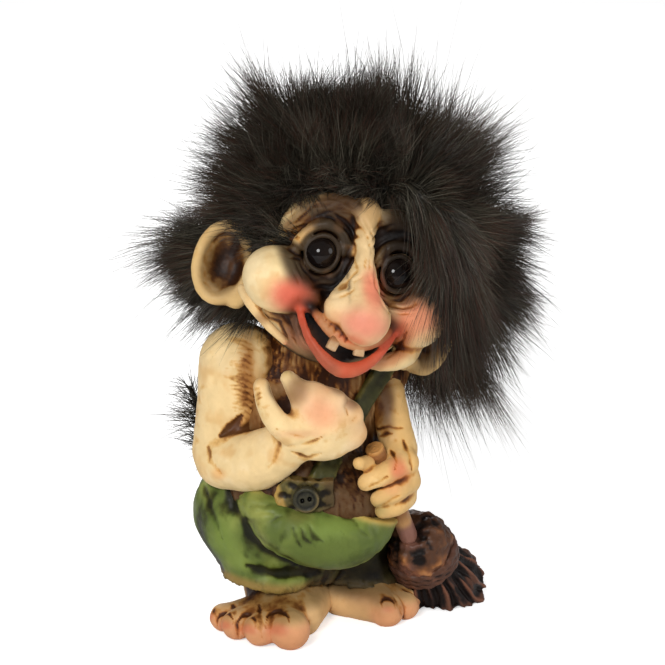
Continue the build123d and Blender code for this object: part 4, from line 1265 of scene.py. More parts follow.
def carve_foot(name, clay, toes, nails):
    foot = Casting(name, clay, (220, 178, 124))
    z = foot.own[:, 2]
    for spot, size in toes:
        near = np.linalg.norm(foot.own - spot, axis=1) / (size * 1.25)
        foot.tint(0.6 * np.exp(-(near**6)) * (1 - soft(z, size * 1.2, size * 1.9)), (216, 122, 90))
    for given in nails:
        paint_nail(foot, *given)
    # The first two dabs are painted shade under the hems; the wash dabs are painted shade under the big toe
    # and between the feet
    foot.dabs(
        (0.80, (272, 597), (52, 11), 0, (112, 90, 56)),
        (0.90, (362, 590), (44, 11), 10, (92, 74, 48)),
        (0.50, (378, 602), (34, 16), 12, (176, 126, 84)),
        (0.35, (240, 612), (30, 12), 10, (196, 142, 92)),
        (0.25, (285, 640), (14, 8), 0, WASH_AND_SHADE),
        (0.30, (330, 606), (10, 14), 40, WASH_AND_SHADE),
    )
    foot.scratches(
        0.7, 3.2, 0.32,
        [(258, 606), (261, 622), (262, 641)], [(233, 604), (236, 620), (238, 638)],
        [(214, 606), (216, 620), (217, 632)], [(393, 596), (399, 606), (403, 618)],
    )
    foot.roughen(0.16, 2.5)
    # Darker toward the ankles, as painted shade under the hems
    foot.tint(0.6 * soft(z, 7.5, 11), (140, 112, 70))
    foot.wash_and_shade += 0.30 * soft(z, 7, 11) + 0.15 * soft(noise.rough(foot.own, 3), 0.2, 0.7)
    foot.antique_and_shade(1.2)
    foot.shade(1.2)
    foot.finish(skin_paint, "skin")


def carve_trousers():
    cloth = Casting("trousers", trousers_clay, GREEN)
    own = cloth.own
    x, y, z = own.T
    turn = np.arctan2(x + 2, -y)
    folds = noise.rough(np.stack((turn * 16, z * 0.30, 0 * z), 1), 4.2)
    pouch = np.exp(-((line_gap(own, [(-12, -30, 30), (0, -32, 29), (11, -29, 31)]) / 7.5) ** 4))
    cloth.push(0.65 * folds * (1 - soft(z, 42, 46)) * (1 - 0.85 * pouch))
    cloth.tint(0.6 * soft(folds, 0.0, 0.6) * (1 - pouch), LIME)
    cloth.wash_and_shade += 0.25 * soft(-folds, 0.1, 0.6) * (1 - pouch)
    cloth.mottle(0.5, 6, 0.1, 0.6, (112, 126, 60))
    cloth.tint(0.5 * soft(-noise.rough(own, 5), 0.1, 0.6), (72, 88, 42))
    # Deep creases with painted shade in them
    cloth.scratches(
        1.2, 6.0, 0.30,
        [(228, 486), (234, 505), (246, 526), (266, 548), (300, 566)], [(246, 566), (276, 574), (318, 572)],
    )
    cloth.scratches(
        0.6, 3.4, 0.24,
        [(238, 497), (254, 512), (274, 514)], [(244, 520), (262, 524), (282, 517)],
        [(250, 506), (266, 507), (280, 503)], [(292, 528), (296, 540), (300, 548)],
        [(300, 528), (303, 538), (310, 542)], [(334, 508), (352, 520), (368, 536)],
        [(336, 500), (356, 508), (372, 520)], [(200, 474), (210, 506), (222, 540)],
        [(308, 524), (314, 536), (322, 542)],
    )
    # Among these dabs, the wash dabs are painted shade in the fold under the patch, between the thigh and the
    # pouch, and under the pouch
    cloth.dabs(
        (0.65, (204, 484), (6, 26), -12, (160, 168, 96)),
        (0.60, (236, 556), (12, 18), -30, (140, 160, 82)),
        (0.55, (330, 528), (34, 12), -8, (128, 152, 76)),
        (0.60, (262, 514), (12, 5), 10, (160, 166, 96)),
        (0.50, (226, 520), (8, 20), -25, (150, 164, 88)),
        (0.45, (306, 536), (12, 12), 0, WASH_AND_SHADE),
        (0.40, (258, 546), (14, 24), -35, WASH_AND_SHADE),
        (0.50, (222, 540), (14, 26), -25, (112, 134, 62)),
        (0.50, (300, 574), (40, 9), 0, WASH_AND_SHADE),
        (0.60, (366, 560), (30, 14), -20, WASH_AND_SHADE),
        (0.30, (298, 516), (12, 8), 0, (120, 104, 58)),
    )
    edge = np.exp(-(under_waist(*cloth.points.T) ** 2))
    cloth.push(0.3 * edge)
    cloth.tint(0.85 * edge, (196, 164, 96))
    hem = 1 - soft(z + 0.16 * (x + 14), 15.4, 18.0)
    cloth.tint(0.8 * hem, (148, 116, 68))
    frayed = soft(noise.rough(own, 1.3), 0.0, 0.5)
    cloth.push(0.5 * hem * frayed)
    cloth.wash_and_shade += hem * (0.25 + 0.35 * frayed)
    # Painted shade low between the legs
    cloth.tint(0.85 * (1 - soft(z, 13, 26)) * soft(x, -8, -1), (60, 50, 34))
    cloth.roughen(0.12, 1.6)
    cloth.antique_and_shade(0.85)
    cloth.shade(1.2)
    cloth.finish(cloth_paint, "trouser_paint")


STRAP_HALF_WIDTH = 2.7
STRAP_PROUD = 1.5
STRAP_SUNK = 0.4
STRAP_FOOT = 40.0


def make_strap():
    """The brace: a band that lies on the trunk in a slanting plane over the left shoulder."""
    slant = BODY.child((7.5, 0, 65.5), (0, 39, 0))
    clay = Clay(trunk_forms, 0.5).add(*trunk_forms, blend=5)
    clay.field = np.maximum(clay.field - STRAP_PROUD, -clay.field - STRAP_SUNK)
    clay.keep(lambda x, y, z: np.abs(slant.into(x, y, z)[0]) - STRAP_HALF_WIDTH)
    clay.keep(lambda x, y, z: STRAP_FOOT - z + BODY.origin[2] + 0 * x)
    strap = Casting("brace_strap", clay, (66, 66, 36), slant)
    own = strap.own
    edge = soft(np.abs(own[:, 0]), 1.7, 2.5)
    strap.push(0.25 * edge + 0.15 * noise.rough(own, 1.5))
    strap.tint(0.6 * edge * soft(noise.at(own, 3.0), -0.3, 0.4), (136, 122, 66))
    strap.wash_and_shade += 0.30 + 0.3 * noise.rough(own, 2.5)
    strap.shade(1.0)
    strap.finish(cloth_paint, "trouser_paint")


PATCH_CENTRE = (-9.5, -23.8, 46.2)
PATCH_CORNERS = [(-8.6, -0.4), (-5.6, 4.8), (7.2, 5.6), (8.3, -2.4), (-4.8, -6.6)]
PATCH_BOW = 0.018
PATCH_REACH = 12
patch_x = np.array((1, -0.38, -0.10)) / np.linalg.norm((1, -0.38, -0.10))
patch_out = np.array((-0.36, -1, 0.02))
patch_out = patch_out - patch_x * (patch_out @ patch_x)
patch_out /= np.linalg.norm(patch_out)
patch = Place(BODY.out(PATCH_CENTRE), np.stack((patch_x, np.cross(patch_out, patch_x), patch_out), 1))


def make_patch():
    """A stiff patch with turned-up edges, creased where the button pulls it."""
    corners = np.array(PATCH_CORNERS)

    def plate(x, y, z):
        x, y, z = patch.into(x, y, z)
        inside = -FAR
        for start, end in zip(corners, np.roll(corners, -1, 0)):
            run = (end - start) / np.linalg.norm(end - start)
            inside = np.maximum(inside, -((x - start[0]) * run[1] - (y - start[1]) * run[0]))
        bow = PATCH_BOW * x * x
        return np.maximum(inside, np.abs(z + bow + 1.0) - 2.2)

    form = (patch.origin - PATCH_REACH, patch.origin + PATCH_REACH, plate)
    rim = [(*corner, 0.8 - PATCH_BOW * corner[0] ** 2) for corner in (corners[4], corners[0], corners[1])]
    clay = Clay([form], 0.33, margin=2).add(form, blend=0.5).add(rope(patch, rim, 0.7), blend=1.0)
    made = Casting("strap_patch", clay, (84, 76, 44), patch)
    x, y, z = made.own.T
    out = np.hypot(x, y)
    ruffle = np.cos(np.arctan2(y, x) * 9) * soft(out, 4.0, 5.0)
    made.push(0.25 * noise.rough(made.own, 1.6) + 0.18 * ruffle)
    made.tint(0.75 * soft(-x - 0.4 * y, 6.0, 7.4), (190, 152, 84))
    made.mottle(0.5, 2.0, 0.2, 0.6, (140, 122, 66))
    # Painted shade over the right half
    made.tint(0.7 * soft(x, 3.5, 6.0), (70, 54, 38))
    made.tint(0.5 * soft(y, 3.5, 5.5), (112, 84, 50))
    made.wash_and_shade += 0.18 + 0.4 * np.exp(-((out - 4.3) ** 2)) - 0.15 * ruffle
    made.antique_and_shade(1.2, ((0.7, 3.6), (1.4, 3.0)))
    made.finish(cloth_paint, "patch_paint")


def make_button():
    """A dished button with a raised rim and two thread holes."""
    clay = Clay([disc(patch, (0, 0, 2.4), 3.9, 1.0)], 0.2, margin=1.5)
    clay.add(disc(patch, (0, 0, 2.1), 3.8, 0.9, 0.4), blend=0.3)
    clay.add(ring(patch, (0, 0, 2.9), (0, 0, 0), 3.2, 0.5), blend=0.3)
    for side in (-1, 1):
        clay.cut(ball(patch, (side * 1.0, side * 0.35, 3.1), (0.65, 0.75, 1.2)), blend=0.2)
    made = Casting("button", clay, (46, 46, 36), patch)
    x, y, z = made.own.T
    made.roughen(0.06, 0.9)
    rim = np.exp(-(((np.hypot(x, y) - 3.5) / 0.4) ** 2)) * soft(z, 2.0, 2.6)
    made.tint(0.55 * rim * soft(x - y, -2, 3), (150, 130, 84))
    made.wash_and_shade += 0.15
    made.antique_and_shade(1.0, ((0.4, 3.6), (0.8, 3.0)))
    made.finish(wood_paint, "button")


def make_teeth():
    """Two worn teeth under the gum."""
    forms = []
    for spot, lean in (((-3.6, -31.9, -18.0), 12), ((3.8, -32.6, -17.7), -4)):
        forms.append(block(HEAD.child(spot, (0, lean, 0)), (1.45, 1.1, 2.0), 0.45))
    made = Casting("teeth", Clay(forms, 0.2, margin=1.5).add(*forms, blend=0.3), (196, 166, 130), HEAD)
    z = made.own[:, 2]
    made.roughen(0.08, 0.9)
    made.tint(0.5 * soft(z, -18.4, -16.8), (150, 96, 66))
    made.wash_and_shade += 0.12 + 0.3 * soft(z, -17.8, -16.2)
    made.finish(skin_paint, "tooth_paint")


def carve_broom_handle():
    stick = Casting("broom_handle", handle_clay, (140, 100, 64), handle)
    z = stick.own[:, 2]
    stick.push(0.15 * noise.rough(stick.own, 1.2, (0.6, 0.6, 5)))
    stick.tint(soft(z, 24, 30), (176, 138, 92))
    stick.tint(0.8 * soft(z, 29, 32), (112, 78, 78))
    stick.tint(0.8 * (1 - soft(z, 0.6, 1.4)), (190, 146, 88))
    stick.antique_and_shade()
    stick.shade(0.6)
    stick.finish(wood_paint, "broom_paint")


def carve_broom_head():
    """The knobbly end where the twigs are folded over."""
    top = Casting("broom_head", broom_head_clay, (72, 48, 34), bundle)
    own = top.own
    knobs = noise.rough(own, 4.2)
    top.push(1.3 * knobs + 0.45 * noise.rough(own, 1.6))
    top.tint(0.7 * soft(knobs, 0.05, 0.5) * soft(noise.at(own, 4.0), -0.3, 0.5), RUST)
    top.dabs((0.9, (408, 530), (14, 9), 20, (110, 78, 72)), (0.7, (428, 520), (14, 8), 30, WASH_AND_SHADE))
    top.tint(0.4 * soft(noise.at(own, 5.0, (1, 2, 1)), 0.2, 0.7), (120, 84, 84))
    top.tint(0.4 * soft(knobs, 0.45, 0.7), (206, 150, 90))
    top.antique_and_shade(1.2)
    top.wash_and_shade += 0.12 - 0.35 * knobs
    top.finish(wood_paint, "broom_paint")


def carve_binding():
    """Three turns of twisted cord."""
    cord = Casting("broom_binding", binding_clay, (74, 50, 40), bundle)
    x, y, z = cord.own.T
    twist = np.sin(np.arctan2(y, x) * 18 + z * 2.6)
    cord.push(0.12 * twist + 0.25 * noise.rough(cord.own, 2.4))
    cord.wash_and_shade += 0.18 - 0.14 * twist
    cord.mottle(0.35, 4, 0.1, 0.5, (126, 84, 64))
    cord.antique_and_shade(1.1)
    cord.finish(wood_paint, "binding_paint")


def carve_twigs():
    """Grooves between the twigs, which wander and open out toward the floor."""
    twigs = Casting("broom_twigs", twigs_clay, TWIG, bundle)
    own = twigs.own
    x, y, z = own.T
    angle = np.arctan2(y, x)
    wander = 0.5 * noise.at(own, 7.0)
    groove = np.cos((angle + 0.16 * wander) * 17 + 2.2 * wander) + 0.6 * np.cos((angle + 0.25 * wander) * 31)
    open_out = 0.4 + 0.6 * soft(z, 15, 20)
    twigs.push((0.5 * groove + 0.5 * noise.rough(own, 1.5, (1, 1, 4)) + noise.at(own, 5.0)) * open_out - 0.5)
    twigs.wash_and_shade += 0.20 - 0.20 * groove + 0.1 * noise.rough(own, 4)
    twigs.tint(0.5 * soft(groove, 0.6, 1.4), (140, 94, 74))
    twigs.antique_and_shade(1.1)
    twigs.points[:, 2] = np.maximum(twigs.points[:, 2], BODY.origin[2])
    twigs.finish(wood_paint, "broom_paint")


def carve_tail():
    tail = Casting("tail", tail_clay, (206, 166, 110))
    tail.roughen(0.2, 2.2)
    tail.wash_and_shade += 0.25
    tail.antique_and_shade()
    tail.finish(skin_paint, "skin")


def glass_eye(name, side):
    """A black glass ball."""
    form = ball(HEAD, EYE_SPOT * (side, 1, 1), EYE_RADIUS)
    points, quads = Clay([form], 0.25, margin=2).add(form, blend=0.1).skin()
    stand_in(solid(name, points * MM, quads, eye_glass), name)


# Nails, in the photograph's pixels: the middle of the edge, half a width, a height and a lean
RIGHT_NAILS = [
    ((277, 624), 12, 13, 0.0), ((247, 625), 9.5, 10, 0.05),
    ((225, 622), 8, 9, 0.1), ((209, 612), 4.5, 8, 0.3),
]
LEFT_NAILS = [((388, 606), 7, 7, -0.2)]

carve_head()
carve_ear("right_ear", -1)
carve_ear("left_ear", 1)
carve_trunk()
carve_right_arm()
carve_left_arm()
carve_foot("right_foot", right_foot_clay, RIGHT_TOES, RIGHT_NAILS)
carve_foot("left_foot", left_foot_clay, LEFT_TOES, LEFT_NAILS)
carve_trousers()
make_strap()
make_patch()
make_button()
make_teeth()
carve_broom_handle()
carve_broom_head()
carve_binding()
carve_twigs()
carve_tail()
glass_eye("right_eye", -1)
glass_eye("left_eye", 1)

# Fur: pelts that hug the skull, and strands that are rooted on them and fan out

HAIR = Place(HEAD.origin, np.eye(3))
# For each mass of hair: its centre, its half sizes and the point that its strands fan out from
MASSES = {
    "hair_crown": ((6.2, 11.8, 26.4), (45.2, 34.7, 31.4), (9, 6, 12)),
    "hair_back": ((7.0, 29.4, 2.6), (35.1, 26.4, 39.0), (6, 6, 4)),
    "hair_left": ((38.1, 9.2, -4.0), (28.1, 28.0, 41.6), (26, 5, 0)),
    "hair_right": ((-26.2, 22.4, -2.0), (20.5, 16.5, 20.0), (-12, 14, 2)),
}
# Layers of fur on each mass, and the strands in a layer
LAYERS = {"hair_crown": (2, 8700), "hair_back": (1, 6500), "hair_left": (2, 8700), "hair_right": (1, 8700)}
PELT_SHARE = 0.46
FRINGE = [
    (-26, -10, 13.9), (-18.5, -18.0, 23.1), (-2.8, -22.8, 28.4),
    (14, -20.3, 25.6), (24.1, -14.6, 15.0), (30, -9.5, 5.0),
]
FRINGE_SIZES = (2.6, 3.0, 3.0, 3.0, 3.0, 2.4)
BRUSH = [(-21, 33, 42), (-23.5, 30, 51), (-26, 27, 60), (-28.5, 26, 66)]
BRUSH_SIZES = (1.2, 1.2, 1.0, 0.6)
FACE_ROOM = ((0, -40, -7.9), (26, 36.1, 33))
EAR_ROOMS = (((-36.1, -8.4, -7.9), (16.8, 14.6, 18.5)), ((36, -8.4, -15), (14, 14, 13)))
PILE_LIMITS = (6.0, 40.0)
FUR_ROOM = (0.0780, 0.0690, 0.1835)
# Where the dense part of the hair ends in the photograph, in its pixels
HAIR_OUTLINE = [
    (186, 196), (184, 170), (190, 142), (202, 114), (218, 92), (250, 72), (300, 66), (350, 74), (392, 60),
    (436, 66), (464, 96), (492, 128), (520, 165), (534, 205), (540, 240), (532, 290), (516, 330), (494, 366),
    (468, 398), (444, 412), (418, 430), (395, 396), (300, 326), (245, 318), (204, 310), (180, 294),
    (162, 272), (136, 250), (164, 236), (194, 222),
]
# What each fur can be told, in metres, steps or plain shares, and what it is otherwise
FUR_INPUTS = {
    "Strands per area": 0.0,
    "Strand radius": 0.0001,
    "Strand steps": 3,
    "Clump size": 0.0042,
    "Clump": 0.65,
    "Sweep size": 0.012,
    "Sweep": 0.6,
    "Stray": 0.16,
    "Wave": 0.75,
    "Droop": 0.08,
    "Wisp": 0.017,
    "Seed": SEED,
}


def fur_tree(material):
    """Strands of fur on a root surface that holds the attributes flow, pile and cover."""
    tree = bpy.data.node_groups.new("fur", "GeometryNodeTree")
    face = tree.interface
    face.new_socket("Geometry", in_out="INPUT", socket_type="NodeSocketGeometry")
    for name, value in FUR_INPUTS.items():
        kind = "NodeSocketInt" if isinstance(value, int) else "NodeSocketFloat"
        face.new_socket(name, in_out="INPUT", socket_type=kind).default_value = value
    face.new_socket("Geometry", in_out="OUTPUT", socket_type="NodeSocketGeometry")
    fur = Nodes(tree)
    node, math, vector = fur.node, fur.math, fur.vector
    given = node("NodeGroupInput").outputs

    def live(sockets, name=None):
        return [s for s in sockets if s.enabled and name in (None, s.name)][0]

    def scaled(value, factor):
        return node("ShaderNodeVectorMath", {"Vector": value, "Scale": factor}, operation="SCALE").outputs[0]

    def named(name, kind):
        return node("GeometryNodeInputNamedAttribute", {"Name": name}, data_type=kind).outputs[0]

    def stored(geometry, name, value, kind="FLOAT"):
        made = node("GeometryNodeStoreNamedAttribute", {"Geometry": geometry, "Name": name}, data_type=kind)
        fur.put(live(made.inputs, "Value"), value)
        return made.outputs[0]

    def random(seed, kind="FLOAT", low=0.0, high=1.0):
        made = node("FunctionNodeRandomValue", {"Seed": math("ADD", given["Seed"], seed)}, data_type=kind)
        live(made.inputs, "Min").default_value = low
        live(made.inputs, "Max").default_value = high
        return live(made.outputs)

    def parts(value):
        return node("ShaderNodeSeparateXYZ", {"Vector": value}).outputs

    def joined(x, y, z=0.0):
        return node("ShaderNodeCombineXYZ", {"X": x, "Y": y, "Z": z}).outputs[0]

    def moved(geometry, **where):
        return node("GeometryNodeSetPosition", {"Geometry": geometry, **where}).outputs[0]

    # one strand: a cone of unit height whose sides swell, and which remembers the share of its height
    cone = node("GeometryNodeMeshCone", {
        "Vertices": 3, "Side Segments": given["Strand steps"],
        "Radius Bottom": 1.0, "Radius Top": 0.0, "Depth": 1.0,
    })
    position = node("GeometryNodeInputPosition").outputs[0]
    along = parts(position)
    swell = joined(math("MULTIPLY", along["X"], along["Z"]), math("MULTIPLY", along["Y"], along["Z"]))
    strand = moved(stored(cone.outputs["Mesh"], "share", along["Z"]), Offset=swell)

    points = node("GeometryNodeDistributePointsOnFaces", {
        "Mesh": given["Geometry"],
        "Density": math("MULTIPLY", given["Strands per area"], named("cover", "FLOAT")),
        "Seed": given["Seed"],
    })

    def drift(shift):
        """Noise shared by neighbouring strands, as a vector round zero."""
        made = node("ShaderNodeTexNoise", {
            "Vector": vector("ADD", position, shift),
            "Scale": math("DIVIDE", 1.0, given["Sweep size"]),
            "Detail": 1.0,
        })
        return vector("SUBTRACT", made.outputs["Color"], (0.5, 0.5, 0.5))

    # strands that are rooted together make a tuft, which gathers to a point and has its own way and length
    size_of_cells = math("DIVIDE", 1.0, given["Clump size"])
    cells = node("ShaderNodeTexVoronoi", {"Vector": position, "Scale": size_of_cells}).outputs
    tuft = parts(cells["Color"])
    clump = vector("SUBTRACT", cells["Color"], (0.5, 0.5, 0.5))
    gather = vector("SUBTRACT", cells["Position"], position)
    sweep = drift((1.0, 2.0, 3.0))
    curl = drift((4.0, 5.0, 6.0))
    way = vector("ADD", named("flow", "FLOAT_VECTOR"), scaled(clump, given["Clump"]))
    way = vector("ADD", way, scaled(sweep, given["Sweep"]))
    spread = random(1, "FLOAT_VECTOR", (-1, -1, -1), (1, 1, 1))
    way = vector("NORMALIZE", vector("ADD", way, scaled(spread, given["Stray"])))
    chance = random(2)
    share_of_pile = math("MULTIPLY_ADD", tuft["X"], 0.40, 0.58)
    share_of_pile = math("ADD", share_of_pile, math("MULTIPLY", chance, 0.18))
    length = math("MULTIPLY", named("pile", "FLOAT"), share_of_pile)
    wisp = math("MULTIPLY", math("POWER", tuft["Y"], 1.5), math("POWER", chance, 5.0))
    length = math("ADD", length, math("MULTIPLY", given["Wisp"], wisp))

    # no strand leaves the room round the figure
    ahead, here = parts(vector("ABSOLUTE", way)), parts(vector("ABSOLUTE", position))
    for axis, limit in zip("XYZ", FUR_ROOM):
        room = math("DIVIDE", math("SUBTRACT", limit, here[axis]), math("MAXIMUM", ahead[axis], 0.05))
        length = math("MINIMUM", length, math("MAXIMUM", room, 0.001))

    wander = scaled(random(3, "FLOAT_VECTOR", (-1, -1, -1.3), (1, 1, 0.5)), 0.22)
    wave = vector("ADD", scaled(curl, 2.2), wander)
    wave = vector("ADD", scaled(wave, given["Wave"]), scaled((0.0, 0.0, -1.0), given["Droop"]))
    wave = vector("ADD", scaled(wave, length), scaled(gather, 0.85))
    rooted = stored(points.outputs["Points"], "lean", wave, "FLOAT_VECTOR")
    rooted = stored(rooted, "tint", random(4))
    rooted = stored(rooted, "tuft", tuft["Z"])
    thick = math("MULTIPLY", given["Strand radius"], math("ADD", 0.7, math("MULTIPLY", random(5), 0.6)))
    planted = node("GeometryNodeInstanceOnPoints", {
        "Points": rooted,
        "Instance": strand,
        "Rotation": node("FunctionNodeAlignRotationToVector", {"Vector": way}, axis="Z").outputs[0],
        "Scale": joined(thick, thick, length),
    })
    real = node("GeometryNodeRealizeInstances", {"Geometry": planted.outputs[0]}).outputs[0]
    share = named("share", "FLOAT")
    bent = moved(real, Offset=scaled(named("lean", "FLOAT_VECTOR"), math("MULTIPLY", share, share)))
    room = [1.02 * limit for limit in FUR_ROOM]
    inside = vector("MINIMUM", vector("MAXIMUM", position, (-room[0], -room[1], 0.0)), tuple(room))
    kept = moved(bent, Position=inside)
    finish = node("GeometryNodeSetMaterial", {"Geometry": kept, "Material": material})
    node("NodeGroupOutput", {"Geometry": finish.outputs[0]})
    return tree


def fur_material():
    """Near-black brown fur with olive and grey strands, and rusty tips on the darker ones."""
    paint = Paint("fur")
    tint = paint.attribute("tint")
    share = paint.attribute("share")
    base = paint.ramp(tint, (
        (0.0, (0.018, 0.015, 0.010)),
        (0.40, (0.034, 0.028, 0.018)),
        (0.76, (0.062, 0.054, 0.037)),
        (0.96, (0.160, 0.145, 0.110)),
    ))
    rust = paint.math("MULTIPLY", paint.spread(share, 0.55, 0.95), paint.spread(tint, 0.5, 0.1))
    colour = paint.mix(rust, base, (0.120, 0.042, 0.026))
    tuft = paint.spread(paint.attribute("tuft"), 0.0, 1.0, 0.35, 1.0)
    root = paint.math("MULTIPLY", paint.spread(share, 0.0, 0.4, 0.3, 1.0), tuft)
    return paint.finish(paint.mix(root, (0.006, 0.005, 0.004), colour), 0.45, Specular_IOR_Level=0.26)


fur_paint = fur_material()
FUR = fur_tree(fur_paint)


def grow(name, node, skin, flow, pile, cover, strands, **inputs):
    """Strands of fur for one node, rooted on a surface given as its points in millimetres and its faces."""
    points, quads = skin
    used, quads = np.unique(quads, return_inverse=True)
    quads = quads.reshape(-1, 4)
    roots = solid(name, points[used] * MM, quads, fur_paint)
    set_attribute(roots.data, "flow", flow[used])
    set_attribute(roots.data, "pile", pile[used] * MM)
    set_attribute(roots.data, "cover", cover[used])
    corners = points[used][quads]
    area = np.linalg.norm(np.cross(corners[:, 2] - corners[:, 0], corners[:, 3] - corners[:, 1]), axis=1) / 2
    covered = (area * cover[used][quads].mean(1)).sum() * MM * MM
    inputs["Strands per area"] = strands / covered
    modifier = roots.modifiers.new("fur", "NODES")
    modifier.node_group = FUR
    for item in FUR.interface.items_tree:
        if item.in_out == "INPUT" and item.name in inputs:
            modifier[item.identifier] = inputs[item.name]
    depsgraph = bpy.context.evaluated_depsgraph_get()
    mesh = bpy.data.meshes.new_from_object(
        roots.evaluated_get(depsgraph), preserve_all_data_layers=True, depsgraph=depsgraph
    )
    roots.modifiers.clear()
    roots.data = mesh
    stand_in(roots, node)


def lay_pelt(pelt, node):
    stand_in(solid(pelt.name, pelt.points * MM, pelt.quads, fur_paint), node)


DOME = ball(HEAD, (0, 5, 7.5), (27.6, 26.6, 29.6))
PELT_STEP = 0.9
pelt_forms = {
    name: [ball(HAIR, centre, np.array(sizes) * PELT_SHARE)]
    for name, (centre, sizes, focus) in MASSES.items()
}
pelt_forms["hair_crown"].append(DOME)
rooms = [ball(HEAD, *room) for room in (FACE_ROOM, *EAR_ROOMS)]
pelt_clay = Clay([form for forms in pelt_forms.values() for form in forms], PELT_STEP)
for forms in pelt_forms.values():
    pelt_clay.add(*forms, blend=4)
pelt_clay.cut(*rooms, blend=1.5)


def is_blocked(points, flow, steps=(2, 5, 8, 12, 16)):
    """Where strands would run into the castings."""
    return np.any([crowd.sample(crowd.field, points + flow * step) < 0.4 for step in steps], 0)


def reach_of(points, flow):
    """How far each strand may grow before it leaves the masses of hair."""
    best = np.zeros(len(points))
    for centre, sizes, focus in MASSES.values():
        away = (points - HAIR.out(centre)) / sizes
        heading = flow / sizes
        a = (heading**2).sum(1)
        b = (away * heading).sum(1)
        c = (away**2).sum(1) - 1
        inside = np.maximum(b * b - a * c, 0)
        reach = np.where(b * b > a * c, (-b + np.sqrt(inside)) / a, 0)
        best = np.maximum(best, reach)
    return np.clip(best, *PILE_LIMITS)


def is_inside(spots, outline):
    """Which spots of the photograph's frame lie inside an outline."""
    found = np.zeros(len(spots), bool)
    x, y = spots.T
    for (ax, ay), (bx, by) in zip(outline, outline[1:] + outline[:1]):
        crossed = (ay > y) != (by > y)
        found ^= crossed & (x < ax + (y - ay) * (bx - ax) / (by - ay if by != ay else 1))
    return found


def trimmed(points, flow, pile):
    """The pile, cut or grown so that the strands end at the outline of the hair in the photograph."""
    best = np.full(len(points), 0.25)
    for share in np.linspace(0.3, 1.3, 21):
        best = np.where(is_inside(seen(points + flow * (pile * share)[:, None]), HAIR_OUTLINE), share, best)
    return pile * best


def unit(vectors):
    return vectors / np.maximum(np.linalg.norm(vectors, axis=1), 1e-6)[:, None]


def hair_of_the_head():
    """Four masses of hair that fan out from their own points, swept in locks and trimmed to the outline."""
    points, quads = pelt_clay.skin()
    own = HAIR.points_in(points)
    depths = [np.linalg.norm((own - centre) / sizes, axis=1) for centre, sizes, focus in MASSES.values()]
    depths = np.array(depths)
    flow = np.zeros_like(points)
    for weight, (centre, sizes, focus) in zip(np.exp(-depths * 5), MASSES.values()):
        flow += weight[:, None] * unit(own - focus)
    flow = unit(flow)
    flow = unit(flow + 0.75 * np.stack([noise.at(own + 40 * axis, 11.0) for axis in range(3)], 1))
    front = soft(-flow[:, 1], 0.1, 0.9)[:, None]
    sides = soft(np.abs(own[:, 0]), 12, 40)[:, None]
    flow = unit(flow + front * (0.10, 0.45, 0.25) - sides * (0, 0, 0.22))
    pile = trimmed(points, flow, reach_of(points, flow))
    cover = np.where(is_blocked(points, flow), 0.0, 1.0)
    owner = depths.argmin(0)[quads[:, 0]]
    for index, (name, (layers, strands)) in enumerate(LAYERS.items()):
        skin = (points, quads[owner == index])
        for layer in range(layers):
            grow(f"{name}_fur_{layer + 1}", name, skin, flow, pile, cover, strands, Seed=SEED + layer)
        clay = Clay(pelt_forms[name], PELT_STEP).add(*pelt_forms[name], blend=4).cut(*rooms, blend=1.5)
        pelt = Skin(name + "_pelt", clay, HAIR)
        pelt.push(0.6 * noise.rough(pelt.points, 3.0) - 0.5)
        lay_pelt(pelt, name)


def hair_fringe():
    """Hair over the brow: swept up in the middle, a lock that falls over the left eye, and loose strands."""
    form = rope(HEAD, FRINGE, FRINGE_SIZES)
    pelt = Skin("hair_fringe_pelt", Clay([form], 0.7).add(form, blend=0.5), HEAD)
    pelt.push(0.5 * noise.rough(pelt.points, 3.0) - 0.4)
    own = HEAD.points_in(pelt.points)
    skin = (pelt.points, pelt.quads)
    out = pelt.normals()
    own_out = out @ HEAD.axes
    x = own[:, 0]
    left = soft(x, 6, 18)[:, None]
    right = soft(-x, 4, 20)[:, None]
    inward = noise.at(own, 6.0)[:, None]

    flow = (1 - np.maximum(left, right)) * (-0.10, -0.25, 0.95) + right * (-0.75, -0.10, 0.60)
    flow = unit(flow + left * (np.array((0.72, -0.50, -0.45)) + 0.45 * inward * (1, 0, 0.5)))
    flow = unit(flow + 0.25 * own_out) @ HEAD.axes.T
    pile = np.interp(x, (-20, 5, 18, 30), (22, 24, 22, 15))
    cover = soft(own_out @ np.array((0, -0.6, 0.8)), -0.4, 0.2) * (1 + 0.6 * left[:, 0])
    cover = np.where(is_blocked(pelt.points, flow, (5, 9)), 0.03, cover)
    lock = {"Wisp": 0.004, "Sweep": 1.2, "Strand steps": 4}
    grow("hair_fringe_fur_1", "hair_fringe", skin, flow, pile, cover, 7000, **lock)

    edge = np.stack((0.9 * soft(x, -6, 14) - 0.55 + 0.5 * inward[:, 0], -0.5 + 0 * x, 0.15 + 0 * x), 1)
    edge = unit(unit(edge) @ HEAD.axes.T + 0.5 * out)
    cover = soft(own_out @ np.array((0, -0.9, -0.1)), -0.2, 0.4)
    short = np.full(len(own), 9.0)
    grow("hair_fringe_fur_2", "hair_fringe", skin, edge, short, cover, 3000, Wisp=0.004, Stray=0.5)

    veil = unit((np.array((0.20, -0.88, 0.1)) + 0.5 * inward * (1, 0, 0)) @ HEAD.axes.T + 0.2 * out)
    cover = soft(x, 3, 12) * soft(own_out @ np.array((0, -0.9, 0.3)), -0.2, 0.3)
    long = np.full(len(own), 19.0)
    fall = {"Wisp": 0.004, "Droop": 0.95, "Sweep": 0.8, "Stray": 0.25}
    fall.update({"Strand radius": 0.00013, "Strand steps": 4})
    grow("hair_fringe_fur_3", "hair_fringe", skin, veil, long, cover, 6000, **fall)
    lay_pelt(pelt, "hair_fringe")


